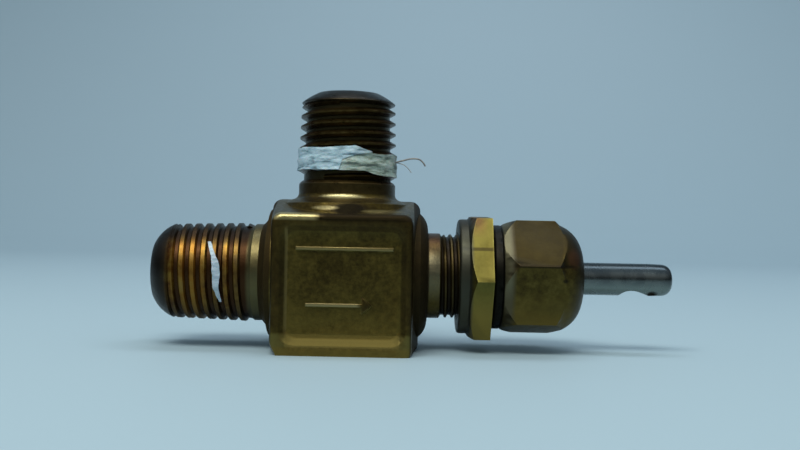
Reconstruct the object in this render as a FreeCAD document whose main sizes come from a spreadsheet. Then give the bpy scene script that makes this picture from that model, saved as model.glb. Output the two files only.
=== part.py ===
import FreeCAD, Part
import math
import os
import Sketcher

# Angle-pattern regulating needle valve with male taper-thread ports and an integral bonnet.
# The frame stands on the flat base, below the outlet: +X runs along the stem, +Z up the outlet.
# Each sub-part is drawn about its own origin, where the stem axis meets the outlet axis.

SIZES = [
    # Forged block, measured from the stem axis and the outlet axis
    ("block_width", 19.7, "across the block at the parting plane"),
    ("block_depth", 19.4, "front face to back face"),
    ("block_top", 9.8, "stem axis to the top of the block at the parting plane"),
    ("stem_height", 9.85, "base to stem axis"),
    ("base_allowance", 0.5, "forging below the base, machined off"),
    ("side_draft", 6.0, "forging draft on both sides, degrees"),
    ("top_draft", 12.0, "forging draft on the top, degrees"),
    ("corner_radius", 1.3, "rounding of the four long corners"),
    ("rim_chamfer", 0.45, "chamfer round the front and back faces"),
    # Recessed panel, with a raised bar and a raised flow arrow
    ("panel_side_border", 0.95, "face edge to the recess, left and right"),
    ("panel_end_border", 1.35, "face edge to the recess, above and below"),
    ("panel_radius", 1.8, "corner radius of the recess"),
    ("panel_depth", 0.7, "depth of the recess"),
    ("panel_slope", 50.0, "slope of the recess wall, degrees"),
    ("relief_height", 0.3, "height of the bar and the arrow above the recess floor"),
    ("line_width", 0.45, "width of the bar and of the arrow's shaft"),
    ("bar_length", 12.2, "length of the bar"),
    ("bar_rise", 3.55, "stem axis up to the middle of the bar"),
    ("arrow_drop", 3.5, "stem axis down to the middle of the arrow"),
    ("arrow_tail", 4.8, "outlet axis back to the tail of the arrow"),
    ("arrow_shaft", 7.0, "length of the arrow's shaft"),
    ("arrow_head_length", 1.3, "length of the arrow's head"),
    ("arrow_head_width", 2.2, "width of the arrow's head"),
    # Male taper-thread ports: crests as a plain cone, with a rounded lead-in at the end
    ("inlet_reach", 25.1, "outlet axis to the inlet's end face"),
    ("outlet_reach", 24.0, "stem axis to the outlet's end face"),
    ("inlet_lead", 2.5, "length of the inlet's lead-in"),
    ("outlet_lead", 1.5, "length of the outlet's lead-in"),
    ("inlet_lead_bulge", 0.085, "bulge of the inlet's lead-in, share of its chord"),
    ("outlet_lead_bulge", 0.03, "bulge of the outlet's lead-in"),
    ("port_face_diameter", 8.2, "flat ring on the end face"),
    ("thread_foot", 12.1, "either axis to the end of the thread nearest the block"),
    ("thread_foot_diameter", 13.14, "crest diameter there"),
    ("thread_taper", 0.0625, "growth of the diameter per length"),
    ("collar_diameter", 12.84, "plain collar between thread and block"),
    ("inlet_flare", 1.05, "length of the flare from inlet collar to block"),
    ("inlet_flare_diameter", 16.8, "foot of the inlet's flare"),
    ("inlet_flare_hollow", 0.1, "hollow of the inlet's flare, share of its chord"),
    ("outlet_flare", 0.75, "length of the flare from outlet collar to block"),
    ("outlet_flare_diameter", 14.5, "foot of the outlet's flare"),
    ("outlet_flare_hollow", 0.17, "hollow of the outlet's flare"),
    ("boss_diameter", 17.6, "foot of the round boss under each flare"),
    ("boss_depth", 2.0, "depth of the round boss below the parting outline"),
    # Bonnet, one piece with the block
    ("shoulder_diameter", 16.4, "foot of the domed shoulder"),
    ("shoulder_face_diameter", 11.9, "flat of the shoulder round the neck"),
    ("shoulder_stand", 1.05, "shoulder above the block's side"),
    ("shoulder_bulge", 0.12, "bulge of the shoulder, share of its chord"),
    ("neck_diameter", 11.3, "plain neck beside the shoulder"),
    ("neck_reach", 12.5, "outlet axis to the start of the panel thread"),
    ("bonnet_diameter", 11.11, "crests of the panel thread"),
    ("bonnet_reach", 25.0, "outlet axis to the end of the bonnet"),
    ("bonnet_chamfer", 0.7, "chamfer at the end of the bonnet"),
    # Flow passage
    ("port_bore_diameter", 7.1, "bore of both ports"),
    ("port_bore_depth", 15.0, "depth of both port bores"),
    ("drill_angle", 118.0, "point angle of the drills"),
    ("orifice_diameter", 4.4, "seat orifice and outlet passage"),
    ("seat_offset", 3.2, "outlet axis back to the seat"),
    # Stem
    ("stem_diameter", 4.7, "shank of the stem in the packing"),
    ("handle_end_diameter", 4.3, "end of the stem that takes the handle"),
    ("handle_end_gap", 0.1, "packing nut to the end that takes the handle"),
    ("handle_end_length", 9.1, "length of that end at its full diameter"),
    ("handle_end_ease", 0.05, "fall of the radius beyond it, so that the handle slides on"),
    ("stem_stand", 12.1, "packing nut to the tip of the stem"),
    ("stem_end_round", 1.3, "rounding of the stem's outer end"),
    ("stem_lift", 2.0, "opening of the valve at rest, seat to sealing cone"),
    ("stem_travel", 4.0, "seat to fully open"),
    ("stem_thread_diameter", 6.35, "crests of the stem's thread"),
    ("stem_thread_start", 8.3, "outlet axis to the stem's thread"),
    ("nose_diameter", 5.5, "plain nose ahead of the stem's thread"),
    ("regulating_diameter", 4.2, "thick end of the regulating taper"),
    ("tip_diameter", 2.0, "thin end of the regulating taper"),
    ("taper_length", 5.6, "length of the regulating taper"),
    ("cone_angle", 30.0, "slope of the sealing cone from the axis"),
    ("notch_back", 5.1, "tip of the stem back to the middle of the worn notch"),
    ("notch_radius", 3.1, "radius of the notch"),
    ("notch_depth", 0.75, "depth of the notch"),
    ("dimple_back", 2.75, "tip of the stem back to the handle screw's dimple"),
    ("dimple_diameter", 1.5, "mouth of the dimple"),
    ("dimple_depth", 0.6, "depth of the dimple"),
    ("dimple_turn", 32.0, "dimple round from straight down to the front, degrees"),
    # Packing, from the bottom of its bore outwards
    ("packing_bore_diameter", 7.1, "bore for the packing"),
    ("packing_bore_depth", 6.5, "depth of the packing bore"),
    ("washer_thickness", 0.8, "washer under the packing"),
    ("packing_ring_thickness", 1.4, "each packing ring, along the axis"),
    ("packing_ring_dish", 0.35, "depth of the cone on each packing ring"),
    ("gland_head_diameter", 10.4, "head of the gland, inside the packing nut"),
    ("gland_head_thickness", 1.2, "thickness of the gland's head"),
    ("gland_gap", 1.4, "end of the bonnet to the gland's head"),
    # Packing nut, turned from hexagon bar
    ("packing_nut_hexagon", 13.8, "across the flats"),
    ("packing_nut_grip", 5.7, "length of the nut round the bonnet"),
    ("packing_nut_length", 12.1, "length of the nut"),
    ("packing_nut_collar_diameter", 13.8, "turned collar at the open end"),
    ("packing_nut_collar_length", 1.3, "length of the collar"),
    ("packing_nut_chamfer", 1.9, "length of the cone from collar to corners"),
    ("packing_nut_flats", 8.2, "open end to the far end of the corners"),
    ("dome_diameter", 14.2, "foot of the dome"),
    ("dome_bulge", 0.165, "bulge of the dome, share of its chord"),
    ("dome_face_diameter", 5.2, "flat at the top of the dome"),
    # Panel nut
    ("panel_nut_hexagon", 15.8, "across the flats"),
    ("panel_nut_start", 14.9, "outlet axis to the nut's collar face"),
    ("panel_nut_length", 4.25, "length of the nut"),
    ("panel_nut_collar_diameter", 15.2, "turned collar on the panel side"),
    ("panel_nut_collar_length", 1.25, "length of the collar"),
    ("panel_nut_chamfer", 0.9, "length of the cone from collar to corners"),
    # Thread tape left on the ports
    ("tape_thickness", 0.22, "tape above the crests"),
    ("tape_low_left", 13.7, "lower edge of the tape, left side, above the stem axis"),
    ("tape_low_right", 12.9, "lower edge of the tape, right side"),
    ("tape_high_left", 16.8, "upper edge of the tape, left side"),
    ("tape_high_right", 16.3, "upper edge of the tape, right side"),
    ("shred_place", 16.7, "outlet axis back to the middle of the shred"),
    ("shred_rise", 0.5, "stem axis up to the middle of the shred"),
    ("shred_width", 1.1, "width of the shred"),
    ("shred_length", 5.6, "length of the shred"),
    ("shred_lean", 11.0, "lean of the shred, degrees"),
    # Fits and angles
    ("quarter_round_bulge", 0.207, "bulge of a quarter round, share of its chord"),
    ("fit_clearance", 0.05, "radial clearance of every running fit"),
    ("panel_nut_turn", -1.6, "front corner of the panel nut from level, degrees"),
    ("packing_nut_turn", 13.0, "front corner of the packing nut from level, degrees"),
]

doc = FreeCAD.newDocument("RegulatingValve")
sheet = doc.addObject("Spreadsheet::Sheet", "Sizes")
for row, (alias, value, note) in enumerate(SIZES, start=1):
    sheet.set(f"A{row}", alias)
    sheet.set(f"B{row}", str(value))
    sheet.set(f"C{row}", note)
    sheet.setAlias(f"B{row}", alias)
doc.recompute()


# Sizes worked out from the driving dimensions, as expressions

BASE = "(-Sizes.stem_height)"
FORGED_BASE = "(-Sizes.stem_height - Sizes.base_allowance)"
FACE_SIDE = "(Sizes.block_width / 2 - Sizes.block_depth / 2 * tan(Sizes.side_draft * 1deg))"
FACE_TOP = "(Sizes.block_top - Sizes.block_depth / 2 * tan(Sizes.top_draft * 1deg))"
DRILL_SLOPE = "tan(Sizes.drill_angle / 2 * 1deg)"
BORE_POINT = f"(Sizes.port_bore_diameter - Sizes.orifice_diameter) / 2 / {DRILL_SLOPE}"
STEM_BORE = "(Sizes.stem_thread_diameter / 2 + Sizes.fit_clearance)"
PACKING_FLOOR = "(Sizes.bonnet_reach - Sizes.packing_bore_depth)"
NUT_BORE = "(Sizes.bonnet_diameter / 2 + Sizes.fit_clearance)"
SHANK_BORE = "(Sizes.stem_diameter / 2 + Sizes.fit_clearance)"
PACKING_OUTSIDE = "(Sizes.packing_bore_diameter / 2 - Sizes.fit_clearance)"
NUT_START = "(Sizes.bonnet_reach - Sizes.packing_nut_grip)"
NUT_END = f"({NUT_START} + Sizes.packing_nut_length)"
STEM_END = f"({NUT_END} + Sizes.stem_stand)"
GLAND_FACE = "(Sizes.bonnet_reach + Sizes.gland_gap)"
NUT_WEB = f"({GLAND_FACE} + Sizes.gland_head_thickness)"
SEAL = "(Sizes.stem_lift - Sizes.seat_offset)"
CONE_SLOPE = "tan(Sizes.cone_angle * 1deg)"


def worked_out(expression):
    return float(sheet.evalExpression(str(expression)))


# Sketches: every corner is held by its two distances from the origin

def plane(body, role):
    return next(f for f in body.Origin.OriginFeatures if f.Role == role)


def new_sketch(body, name, role="XZ_Plane", offset=None, along=None, turn=None):
    sketch = body.newObject("Sketcher::SketchObject", name)
    sketch.AttachmentSupport = [(plane(body, role), "")]
    sketch.MapMode = "FlatFace"
    if offset:
        sketch.setExpression("AttachmentOffset.Base.z", offset)
    if turn:
        sketch.AttachmentOffset.Rotation = FreeCAD.Rotation(FreeCAD.Vector(-1, 0, 0), worked_out(turn))
        sketch.setExpression("AttachmentOffset.Rotation.Angle", f"{turn} * 1deg")
        sketch.setExpression("AttachmentOffset.Base.x", along)
    return sketch


def draw_loop(sketch, corners):
    """A closed loop of straight lines through corners given as (x, y) expressions."""
    points = [FreeCAD.Vector(worked_out(x), worked_out(y), 0) for x, y in corners]
    following = points[1:] + points[:1]
    lines = [sketch.addGeometry(Part.LineSegment(*ends), False) for ends in zip(points, following)]
    for line, next_line in zip(lines, lines[1:] + lines[:1]):
        sketch.addConstraint(Sketcher.Constraint("Coincident", line, 2, next_line, 1))
    for line, (x, y), point in zip(lines, corners, points):
        hold(sketch, x, "DistanceX", -1, 1, line, 1, point.x)
        hold(sketch, y, "DistanceY", -1, 1, line, 1, point.y)


def hold(sketch, expression, *constraint):
    number = sketch.addConstraint(Sketcher.Constraint(*constraint))
    sketch.setExpression(f"Constraints[{number}]", expression)


def curved(start, end, bulge, steps=2):
    """Corners along a shallow curve from start to end, as short straight runs.

    The curve leaves its chord by the bulge times the chord's length, to the left for a positive
    bulge. The end itself is left to the caller's next corner.
    """
    (x_start, y_start), (x_end, y_end) = start, end
    corners = [start]
    for step in range(1, steps):
        share = step / steps
        rise = f"{4 * share * (1 - share)} * {bulge}"
        corners.append((
            f"({x_start} + ({x_end} - {x_start}) * {share} - ({y_end} - {y_start}) * {rise})",
            f"({y_start} + ({y_end} - {y_start}) * {share} + ({x_end} - {x_start}) * {rise})",
        ))
    return corners


def draw_rounded_box(sketch, side, bottom, top, radius):
    """A box level with the axes, equally wide on both sides of the vertical axis."""
    rounds = [
        ((f"({side} - {radius})", bottom), (side, f"({bottom} + {radius})")),
        ((side, f"({top} - {radius})"), (f"({side} - {radius})", top)),
        ((f"({radius} - {side})", top), (f"(-{side})", f"({top} - {radius})")),
        ((f"(-{side})", f"({bottom} + {radius})"), (f"({radius} - {side})", bottom)),
    ]
    corners = []
    for start, end in rounds:
        corners += curved(start, end, "-Sizes.quarter_round_bulge", steps=3) + [end]
    draw_loop(sketch, corners)


# Features

def turned(body, name, corners, axis="H_Axis", kind="Revolution", along=None, turn=None):
    sketch = new_sketch(body, f"{name}_profile", along=along, turn=turn)
    draw_loop(sketch, corners)
    feature = body.newObject(f"PartDesign::{kind}", name)
    feature.Profile = sketch
    feature.ReferenceAxis = (sketch, [axis])
    feature.Angle = 360
    doc.recompute()
    return feature


def hexagon_bar(body, name, across, turn, start, length):
    """A length of hexagon bar along +X, with one corner at the front, turned up by an angle."""
    sketch = new_sketch(body, f"{name}_profile", "YZ_Plane", offset=start)
    corner = f"{across} / 2 / cos(30deg)"
    draw_loop(sketch, [
        (f"-{corner} * cos(({turn} - {60 * step}) * 1deg)", f"{corner} * sin(({turn} - {60 * step}) * 1deg)")
        for step in range(6)
    ])
    pad = body.newObject("PartDesign::Pad", name)
    pad.Profile = sketch
    pad.setExpression("Length", length)
    doc.recompute()
    return pad


def new_body(name):
    body = doc.addObject("PartDesign::Body", name)
    body.Label = name
    body.setExpression("Placement.Base.z", "Sizes.stem_height")
    return body


# Valve body: one forging, block with inlet, outlet and bonnet, then machined

def crest_radius(from_axis):
    return f"((Sizes.thread_foot_diameter - Sizes.thread_taper * ({from_axis} - Sizes.thread_foot)) / 2)"


def port_outline(port, block_side):
    """Half section of a port from its end face to inside the block, as (along, across)."""
    reach = f"Sizes.{port}_reach"
    lead_end = f"({reach} - Sizes.{port}_lead)"
    collar = "(Sizes.collar_diameter / 2)"
    end_ring = (reach, "(Sizes.port_face_diameter / 2)")
    first_crest = (lead_end, crest_radius(lead_end))
    flare_top = (f"({block_side} + Sizes.{port}_flare)", collar)
    flare_foot = (f"({block_side})", f"(Sizes.{port}_flare_diameter / 2)")
    return [
        (reach, "0"),
        *curved(end_ring, first_crest, f"-Sizes.{port}_lead_bulge"),
        first_crest,
        ("Sizes.thread_foot", "Sizes.thread_foot_diameter / 2"),
        ("Sizes.thread_foot", collar),
        *curved(flare_top, flare_foot, f"Sizes.{port}_flare_hollow"),
        flare_foot,
        (f"({block_side} - Sizes.boss_depth)", "Sizes.boss_diameter / 2"),
        (f"({block_side} - Sizes.boss_depth)", "0"),
    ]


def chamfered_face(body, block):
    """Chamfer round the front face of the half block."""
    front = -worked_out("Sizes.block_depth / 2") + 0.01
    chamfer = body.newObject("PartDesign::Chamfer", "rim")
    edges = enumerate(block.Shape.Edges, start=1)
    chamfer.Base = (block, [f"Edge{number}" for number, edge in edges if edge.BoundBox.YMax < front])
    chamfer.setExpression("Size", "Sizes.rim_chamfer")
    doc.recompute()


def make_valve_body():
    body = new_body("valve_body")

    face_outline = new_sketch(body, "face_outline", offset="Sizes.block_depth / 2")
    draw_rounded_box(face_outline, FACE_SIDE, FORGED_BASE, FACE_TOP, "Sizes.corner_radius")
    parting_outline = new_sketch(body, "parting_outline")
    draw_rounded_box(parting_outline, "(Sizes.block_width / 2)", FORGED_BASE, "(Sizes.block_top)",
                     "Sizes.corner_radius")
    half_block = body.newObject("PartDesign::AdditiveLoft", "half_block")
    half_block.Profile = parting_outline
    half_block.Sections = [face_outline]
    half_block.Ruled = True
    doc.recompute()
    chamfered_face(body, half_block)

    recess_outline = new_sketch(body, "recess_outline", offset="Sizes.block_depth / 2")
    draw_rounded_box(recess_outline, f"({FACE_SIDE} - Sizes.panel_side_border)",
                     f"({BASE} + Sizes.panel_end_border)", f"({FACE_TOP} - Sizes.panel_end_border)",
                     "Sizes.panel_radius")
    recess = body.newObject("PartDesign::Pocket", "recess")
    recess.Profile = recess_outline
    recess.setExpression("Length", "Sizes.panel_depth")
    recess.setExpression("TaperAngle", "-Sizes.panel_slope")
    doc.recompute()

    whole_block = body.newObject("PartDesign::Mirrored", "whole_block")
    whole_block.TransformMode = "Whole shape"
    whole_block.MirrorPlane = (plane(body, "XZ_Plane"), [""])
    body.Tip = whole_block
    doc.recompute()

    base_outline = new_sketch(body, "base_outline", "XY_Plane", offset=BASE)
    draw_loop(base_outline, [
        ("-Sizes.block_width", "-Sizes.block_depth"),
        ("Sizes.block_width", "-Sizes.block_depth"),
        ("Sizes.block_width", "Sizes.block_depth"),
        ("-Sizes.block_width", "Sizes.block_depth"),
    ])
    machined_base = body.newObject("PartDesign::Pocket", "machined_base")
    machined_base.Profile = base_outline
    machined_base.setExpression("Length", "2 * Sizes.base_allowance")
    doc.recompute()

    inlet = port_outline("inlet", "Sizes.block_width / 2")
    turned(body, "inlet_port", [(f"-({along})", across) for along, across in inlet])
    outlet = port_outline("outlet", "Sizes.block_top")
    turned(body, "outlet_port", [(across, along) for along, across in outlet], axis="V_Axis")

    shoulder_foot = ("(Sizes.block_width / 2)", "(Sizes.shoulder_diameter / 2)")
    shoulder_face = ("(Sizes.block_width / 2 + Sizes.shoulder_stand)", "(Sizes.shoulder_face_diameter / 2)")
    turned(body, "bonnet", [
        ("Sizes.block_width / 4", "0"),
        ("Sizes.block_width / 4", "Sizes.shoulder_diameter / 2"),
        *curved(shoulder_foot, shoulder_face, "Sizes.shoulder_bulge"),
        shoulder_face,
        (shoulder_face[0], "Sizes.neck_diameter / 2"),
        ("Sizes.neck_reach", "Sizes.neck_diameter / 2"),
        ("Sizes.neck_reach", "Sizes.bonnet_diameter / 2"),
        ("Sizes.bonnet_reach - Sizes.bonnet_chamfer", "Sizes.bonnet_diameter / 2"),
        ("Sizes.bonnet_reach", "Sizes.bonnet_diameter / 2 - Sizes.bonnet_chamfer"),
        ("Sizes.bonnet_reach", "0"),
    ])

    turned(body, "stem_passage", [
        ("-Sizes.inlet_reach", "0"),
        ("-Sizes.inlet_reach", "Sizes.port_bore_diameter / 2"),
        ("-Sizes.inlet_reach + Sizes.port_bore_depth", "Sizes.port_bore_diameter / 2"),
        (f"-Sizes.inlet_reach + Sizes.port_bore_depth + {BORE_POINT}", "Sizes.orifice_diameter / 2"),
        ("-Sizes.seat_offset", "Sizes.orifice_diameter / 2"),
        ("-Sizes.seat_offset", STEM_BORE),
        (PACKING_FLOOR, STEM_BORE),
        (PACKING_FLOOR, "Sizes.packing_bore_diameter / 2"),
        ("Sizes.bonnet_reach", "Sizes.packing_bore_diameter / 2"),
        ("Sizes.bonnet_reach", "0"),
    ], kind="Groove")
    turned(body, "outlet_passage", [
        ("0", "Sizes.outlet_reach"),
        ("Sizes.port_bore_diameter / 2", "Sizes.outlet_reach"),
        ("Sizes.port_bore_diameter / 2", "Sizes.outlet_reach - Sizes.port_bore_depth"),
        ("Sizes.orifice_diameter / 2", f"Sizes.outlet_reach - Sizes.port_bore_depth - {BORE_POINT}"),
        ("Sizes.orifice_diameter / 2", "0"),
        ("0", "0"),
    ], axis="V_Axis", kind="Groove")

    half_line = "Sizes.line_width / 2"
    shaft_end = "(Sizes.arrow_shaft - Sizes.arrow_tail)"
    raised = new_sketch(body, "raised_lines", offset="Sizes.block_depth / 2 - Sizes.panel_depth")
    draw_loop(raised, [
        ("-Sizes.bar_length / 2", f"Sizes.bar_rise - {half_line}"),
        ("Sizes.bar_length / 2", f"Sizes.bar_rise - {half_line}"),
        ("Sizes.bar_length / 2", f"Sizes.bar_rise + {half_line}"),
        ("-Sizes.bar_length / 2", f"Sizes.bar_rise + {half_line}"),
    ])
    draw_loop(raised, [
        ("-Sizes.arrow_tail", f"-Sizes.arrow_drop - {half_line}"),
        (shaft_end, f"-Sizes.arrow_drop - {half_line}"),
        (shaft_end, "-Sizes.arrow_drop - Sizes.arrow_head_width / 2"),
        (f"{shaft_end} + Sizes.arrow_head_length", "-Sizes.arrow_drop"),
        (shaft_end, "-Sizes.arrow_drop + Sizes.arrow_head_width / 2"),
        (shaft_end, f"-Sizes.arrow_drop + {half_line}"),
        ("-Sizes.arrow_tail", f"-Sizes.arrow_drop + {half_line}"),
    ])
    bar_and_arrow = body.newObject("PartDesign::Pad", "bar_and_arrow")
    bar_and_arrow.Profile = raised
    bar_and_arrow.setExpression("Length", "Sizes.relief_height")
    doc.recompute()
    return body


# Stem: regulating taper, sealing cone, thread and a plain shank with a worn notch

def make_stem():
    body = new_body("stem")
    radius = "Sizes.stem_diameter / 2"
    handle_end = "Sizes.handle_end_diameter / 2"
    orifice = "Sizes.orifice_diameter / 2"
    regulating = "Sizes.regulating_diameter / 2"
    cone_foot = f"({SEAL} + (Sizes.nose_diameter / 2 - {orifice}) / {CONE_SLOPE})"
    taper_start = f"({SEAL} - ({orifice} - {regulating}) / {CONE_SLOPE})"
    thread_end = f"({PACKING_FLOOR} - Sizes.stem_travel + Sizes.stem_lift)"
    thread_step = "(Sizes.stem_thread_diameter - Sizes.stem_diameter) / 2"
    handle_end_start = f"({NUT_END} + Sizes.handle_end_gap)"
    round_start = (f"({STEM_END} - Sizes.stem_end_round)", f"({handle_end} - Sizes.handle_end_ease)")
    round_end = (STEM_END, f"({handle_end} - Sizes.handle_end_ease - Sizes.stem_end_round)")
    turned(body, "stem_turning", [
        (f"{taper_start} - Sizes.taper_length", "0"),
        (f"{taper_start} - Sizes.taper_length", "Sizes.tip_diameter / 2"),
        (taper_start, regulating),
        (cone_foot, "Sizes.nose_diameter / 2"),
        ("Sizes.stem_thread_start", "Sizes.nose_diameter / 2"),
        ("Sizes.stem_thread_start + (Sizes.stem_thread_diameter - Sizes.nose_diameter) / 2",
         "Sizes.stem_thread_diameter / 2"),
        (f"{thread_end} - {thread_step} / 2", "Sizes.stem_thread_diameter / 2"),
        (thread_end, f"{radius} + {thread_step} / 2"),
        (thread_end, radius),
        (handle_end_start, radius),
        (handle_end_start, handle_end),
        (f"{handle_end_start} + Sizes.handle_end_length", handle_end),
        *curved(round_start, round_end, "Sizes.quarter_round_bulge", steps=3),
        round_end,
        (STEM_END, "0"),
    ])

    notch_outline = new_sketch(body, "notch_outline")
    notch_place = f"({STEM_END} - Sizes.notch_back)"
    centre = FreeCAD.Vector(worked_out(notch_place), 0, 0)
    circle = notch_outline.addGeometry(Part.Circle(centre, FreeCAD.Vector(0, 0, 1), 1), False)
    centre_drop = f"-({handle_end} - Sizes.notch_depth + Sizes.notch_radius)"
    hold(notch_outline, notch_place, "DistanceX", -1, 1, circle, 3, worked_out(notch_place))
    hold(notch_outline, centre_drop, "DistanceY", -1, 1, circle, 3, worked_out(centre_drop))
    hold(notch_outline, "Sizes.notch_radius", "Radius", circle, 1)
    notch = body.newObject("PartDesign::Pocket", "notch")
    notch.Profile = notch_outline
    notch.Type = "ThroughAll"
    notch.Midplane = True
    doc.recompute()

    turned(body, "dimple", [
        ("0", f"-{handle_end} - Sizes.dimple_depth"),
        ("Sizes.dimple_diameter", f"-{handle_end} - Sizes.dimple_depth"),
        ("0", f"-{handle_end} + Sizes.dimple_depth"),
    ], axis="V_Axis", kind="Groove", along=f"{STEM_END} - Sizes.dimple_back", turn="Sizes.dimple_turn")
    return body


# Packing: washer, two dished rings and the gland that the packing nut presses on

def make_gland_washer():
    body = new_body("gland_washer")
    turned(body, "washer_turning", [
        (PACKING_FLOOR, SHANK_BORE),
        (PACKING_FLOOR, PACKING_OUTSIDE),
        (f"{PACKING_FLOOR} + Sizes.washer_thickness", PACKING_OUTSIDE),
        (f"{PACKING_FLOOR} + Sizes.washer_thickness", SHANK_BORE),
    ])
    return body


def make_packing_ring(name, place):
    body = new_body(name)
    start = f"({PACKING_FLOOR} + Sizes.washer_thickness + {place} * Sizes.packing_ring_thickness)"
    middle = f"({SHANK_BORE} + {PACKING_OUTSIDE}) / 2"
    near_dish = "0" if place == 0 else "Sizes.packing_ring_dish"
    far_dish = "Sizes.packing_ring_dish" if place == 0 else "0"
    turned(body, f"{name}_turning", [
        (start, SHANK_BORE),
        (f"{start} + {near_dish}", middle),
        (start, PACKING_OUTSIDE),
        (f"{start} + Sizes.packing_ring_thickness", PACKING_OUTSIDE),
        (f"{start} + Sizes.packing_ring_thickness + {far_dish}", middle),
        (f"{start} + Sizes.packing_ring_thickness", SHANK_BORE),
    ])
    return body


def make_packing_gland():
    body = new_body("packing_gland")
    nose = f"({PACKING_FLOOR} + Sizes.washer_thickness + 2 * Sizes.packing_ring_thickness)"
    turned(body, "gland_turning", [
        (nose, SHANK_BORE),
        (nose, PACKING_OUTSIDE),
        (GLAND_FACE, PACKING_OUTSIDE),
        (GLAND_FACE, "Sizes.gland_head_diameter / 2"),
        (NUT_WEB, "Sizes.gland_head_diameter / 2"),
        (NUT_WEB, SHANK_BORE),
    ])
    return body


# Nuts: hexagon bar, turned down at the ends and bored

def make_packing_nut():
    body = new_body("packing_nut")
    corner = "Sizes.packing_nut_hexagon / 2 / cos(30deg)"
    clear = f"({corner} + 1)"
    collar = "Sizes.packing_nut_collar_diameter / 2"
    collar_chamfer = "Sizes.packing_nut_collar_length / 4"
    cone_end = f"({NUT_START} + Sizes.packing_nut_collar_length + Sizes.packing_nut_chamfer)"
    flats_end = f"({NUT_START} + Sizes.packing_nut_flats)"
    dome_foot = (f"({flats_end} + {corner} - Sizes.dome_diameter / 2)", "(Sizes.dome_diameter / 2)")
    dome_face = (NUT_END, "(Sizes.dome_face_diameter / 2)")
    hexagon_bar(body, "nut_bar", "Sizes.packing_nut_hexagon", "Sizes.packing_nut_turn", NUT_START,
                "Sizes.packing_nut_length")
    turned(body, "open_end", [
        (NUT_START, f"{collar} - {collar_chamfer}"),
        (f"{NUT_START} + {collar_chamfer}", collar),
        (f"{NUT_START} + Sizes.packing_nut_collar_length", collar),
        (cone_end, corner),
        (cone_end, clear),
        (NUT_START, clear),
    ], kind="Groove")
    turned(body, "dome", [
        dome_face,
        (NUT_END, clear),
        (flats_end, clear),
        (flats_end, corner),
        *curved(dome_foot, dome_face, "Sizes.dome_bulge", steps=4),
    ], kind="Groove")
    turned(body, "nut_bore", [
        (NUT_START, "0"),
        (NUT_START, f"{NUT_BORE} + Sizes.bonnet_chamfer / 2"),
        (f"{NUT_START} + Sizes.bonnet_chamfer / 2", NUT_BORE),
        (NUT_WEB, NUT_BORE),
        (NUT_WEB, SHANK_BORE),
        (NUT_END, SHANK_BORE),
        (NUT_END, "0"),
    ], kind="Groove")
    return body


def make_panel_nut():
    body = new_body("panel_nut")
    start = "Sizes.panel_nut_start"
    end = f"({start} + Sizes.panel_nut_length)"
    corner = "Sizes.panel_nut_hexagon / 2 / cos(30deg)"
    clear = f"({corner} + 1)"
    collar = "Sizes.panel_nut_collar_diameter / 2"
    collar_chamfer = "Sizes.panel_nut_collar_length / 4"
    cone_end = f"({start} + Sizes.panel_nut_collar_length + Sizes.panel_nut_chamfer)"
    hexagon_bar(body, "nut_bar", "Sizes.panel_nut_hexagon", "Sizes.panel_nut_turn", start,
                "Sizes.panel_nut_length")
    turned(body, "panel_side", [
        (start, f"{collar} - {collar_chamfer}"),
        (f"{start} + {collar_chamfer}", collar),
        (f"{start} + Sizes.panel_nut_collar_length", collar),
        (cone_end, corner),
        (cone_end, clear),
        (start, clear),
    ], kind="Groove")
    turned(body, "nut_bore", [
        (start, "0"),
        (start, f"{NUT_BORE} + Sizes.bonnet_chamfer / 2"),
        (f"{start} + Sizes.bonnet_chamfer / 2", NUT_BORE),
        (f"{end} - Sizes.bonnet_chamfer / 2", NUT_BORE),
        (end, f"{NUT_BORE} + Sizes.bonnet_chamfer / 2"),
        (end, "0"),
    ], kind="Groove")
    return body


# Thread tape: a ragged band round the outlet thread, and a shred across the inlet thread

def make_thread_tape():
    body = new_body("thread_tape")
    low, high = "Sizes.tape_low_right", "Sizes.tape_high_left"
    low_radius = crest_radius(low)
    high_radius = crest_radius(high)
    turned(body, "tape_winding", [
        (low_radius, low),
        (f"{low_radius} + Sizes.tape_thickness", low),
        (f"{high_radius} + Sizes.tape_thickness", high),
        (high_radius, high),
    ], axis="V_Axis")
    edges = new_sketch(body, "tape_edges")
    side = "Sizes.collar_diameter"
    draw_loop(edges, [
        (f"-{side}", "Sizes.tape_high_left * 1.5 - Sizes.tape_high_right * 0.5"),
        (side, "Sizes.tape_high_right * 1.5 - Sizes.tape_high_left * 0.5"),
        (side, "Sizes.tape_high_left * 2"),
        (f"-{side}", "Sizes.tape_high_left * 2"),
    ])
    draw_loop(edges, [
        (f"-{side}", "Sizes.tape_low_left * 1.5 - Sizes.tape_low_right * 0.5"),
        (side, "Sizes.tape_low_right * 1.5 - Sizes.tape_low_left * 0.5"),
        (side, "0"),
        (f"-{side}", "0"),
    ])
    trim = body.newObject("PartDesign::Pocket", "tape_trim")
    trim.Profile = edges
    trim.Type = "ThroughAll"
    trim.Midplane = True
    doc.recompute()
    return body


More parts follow.
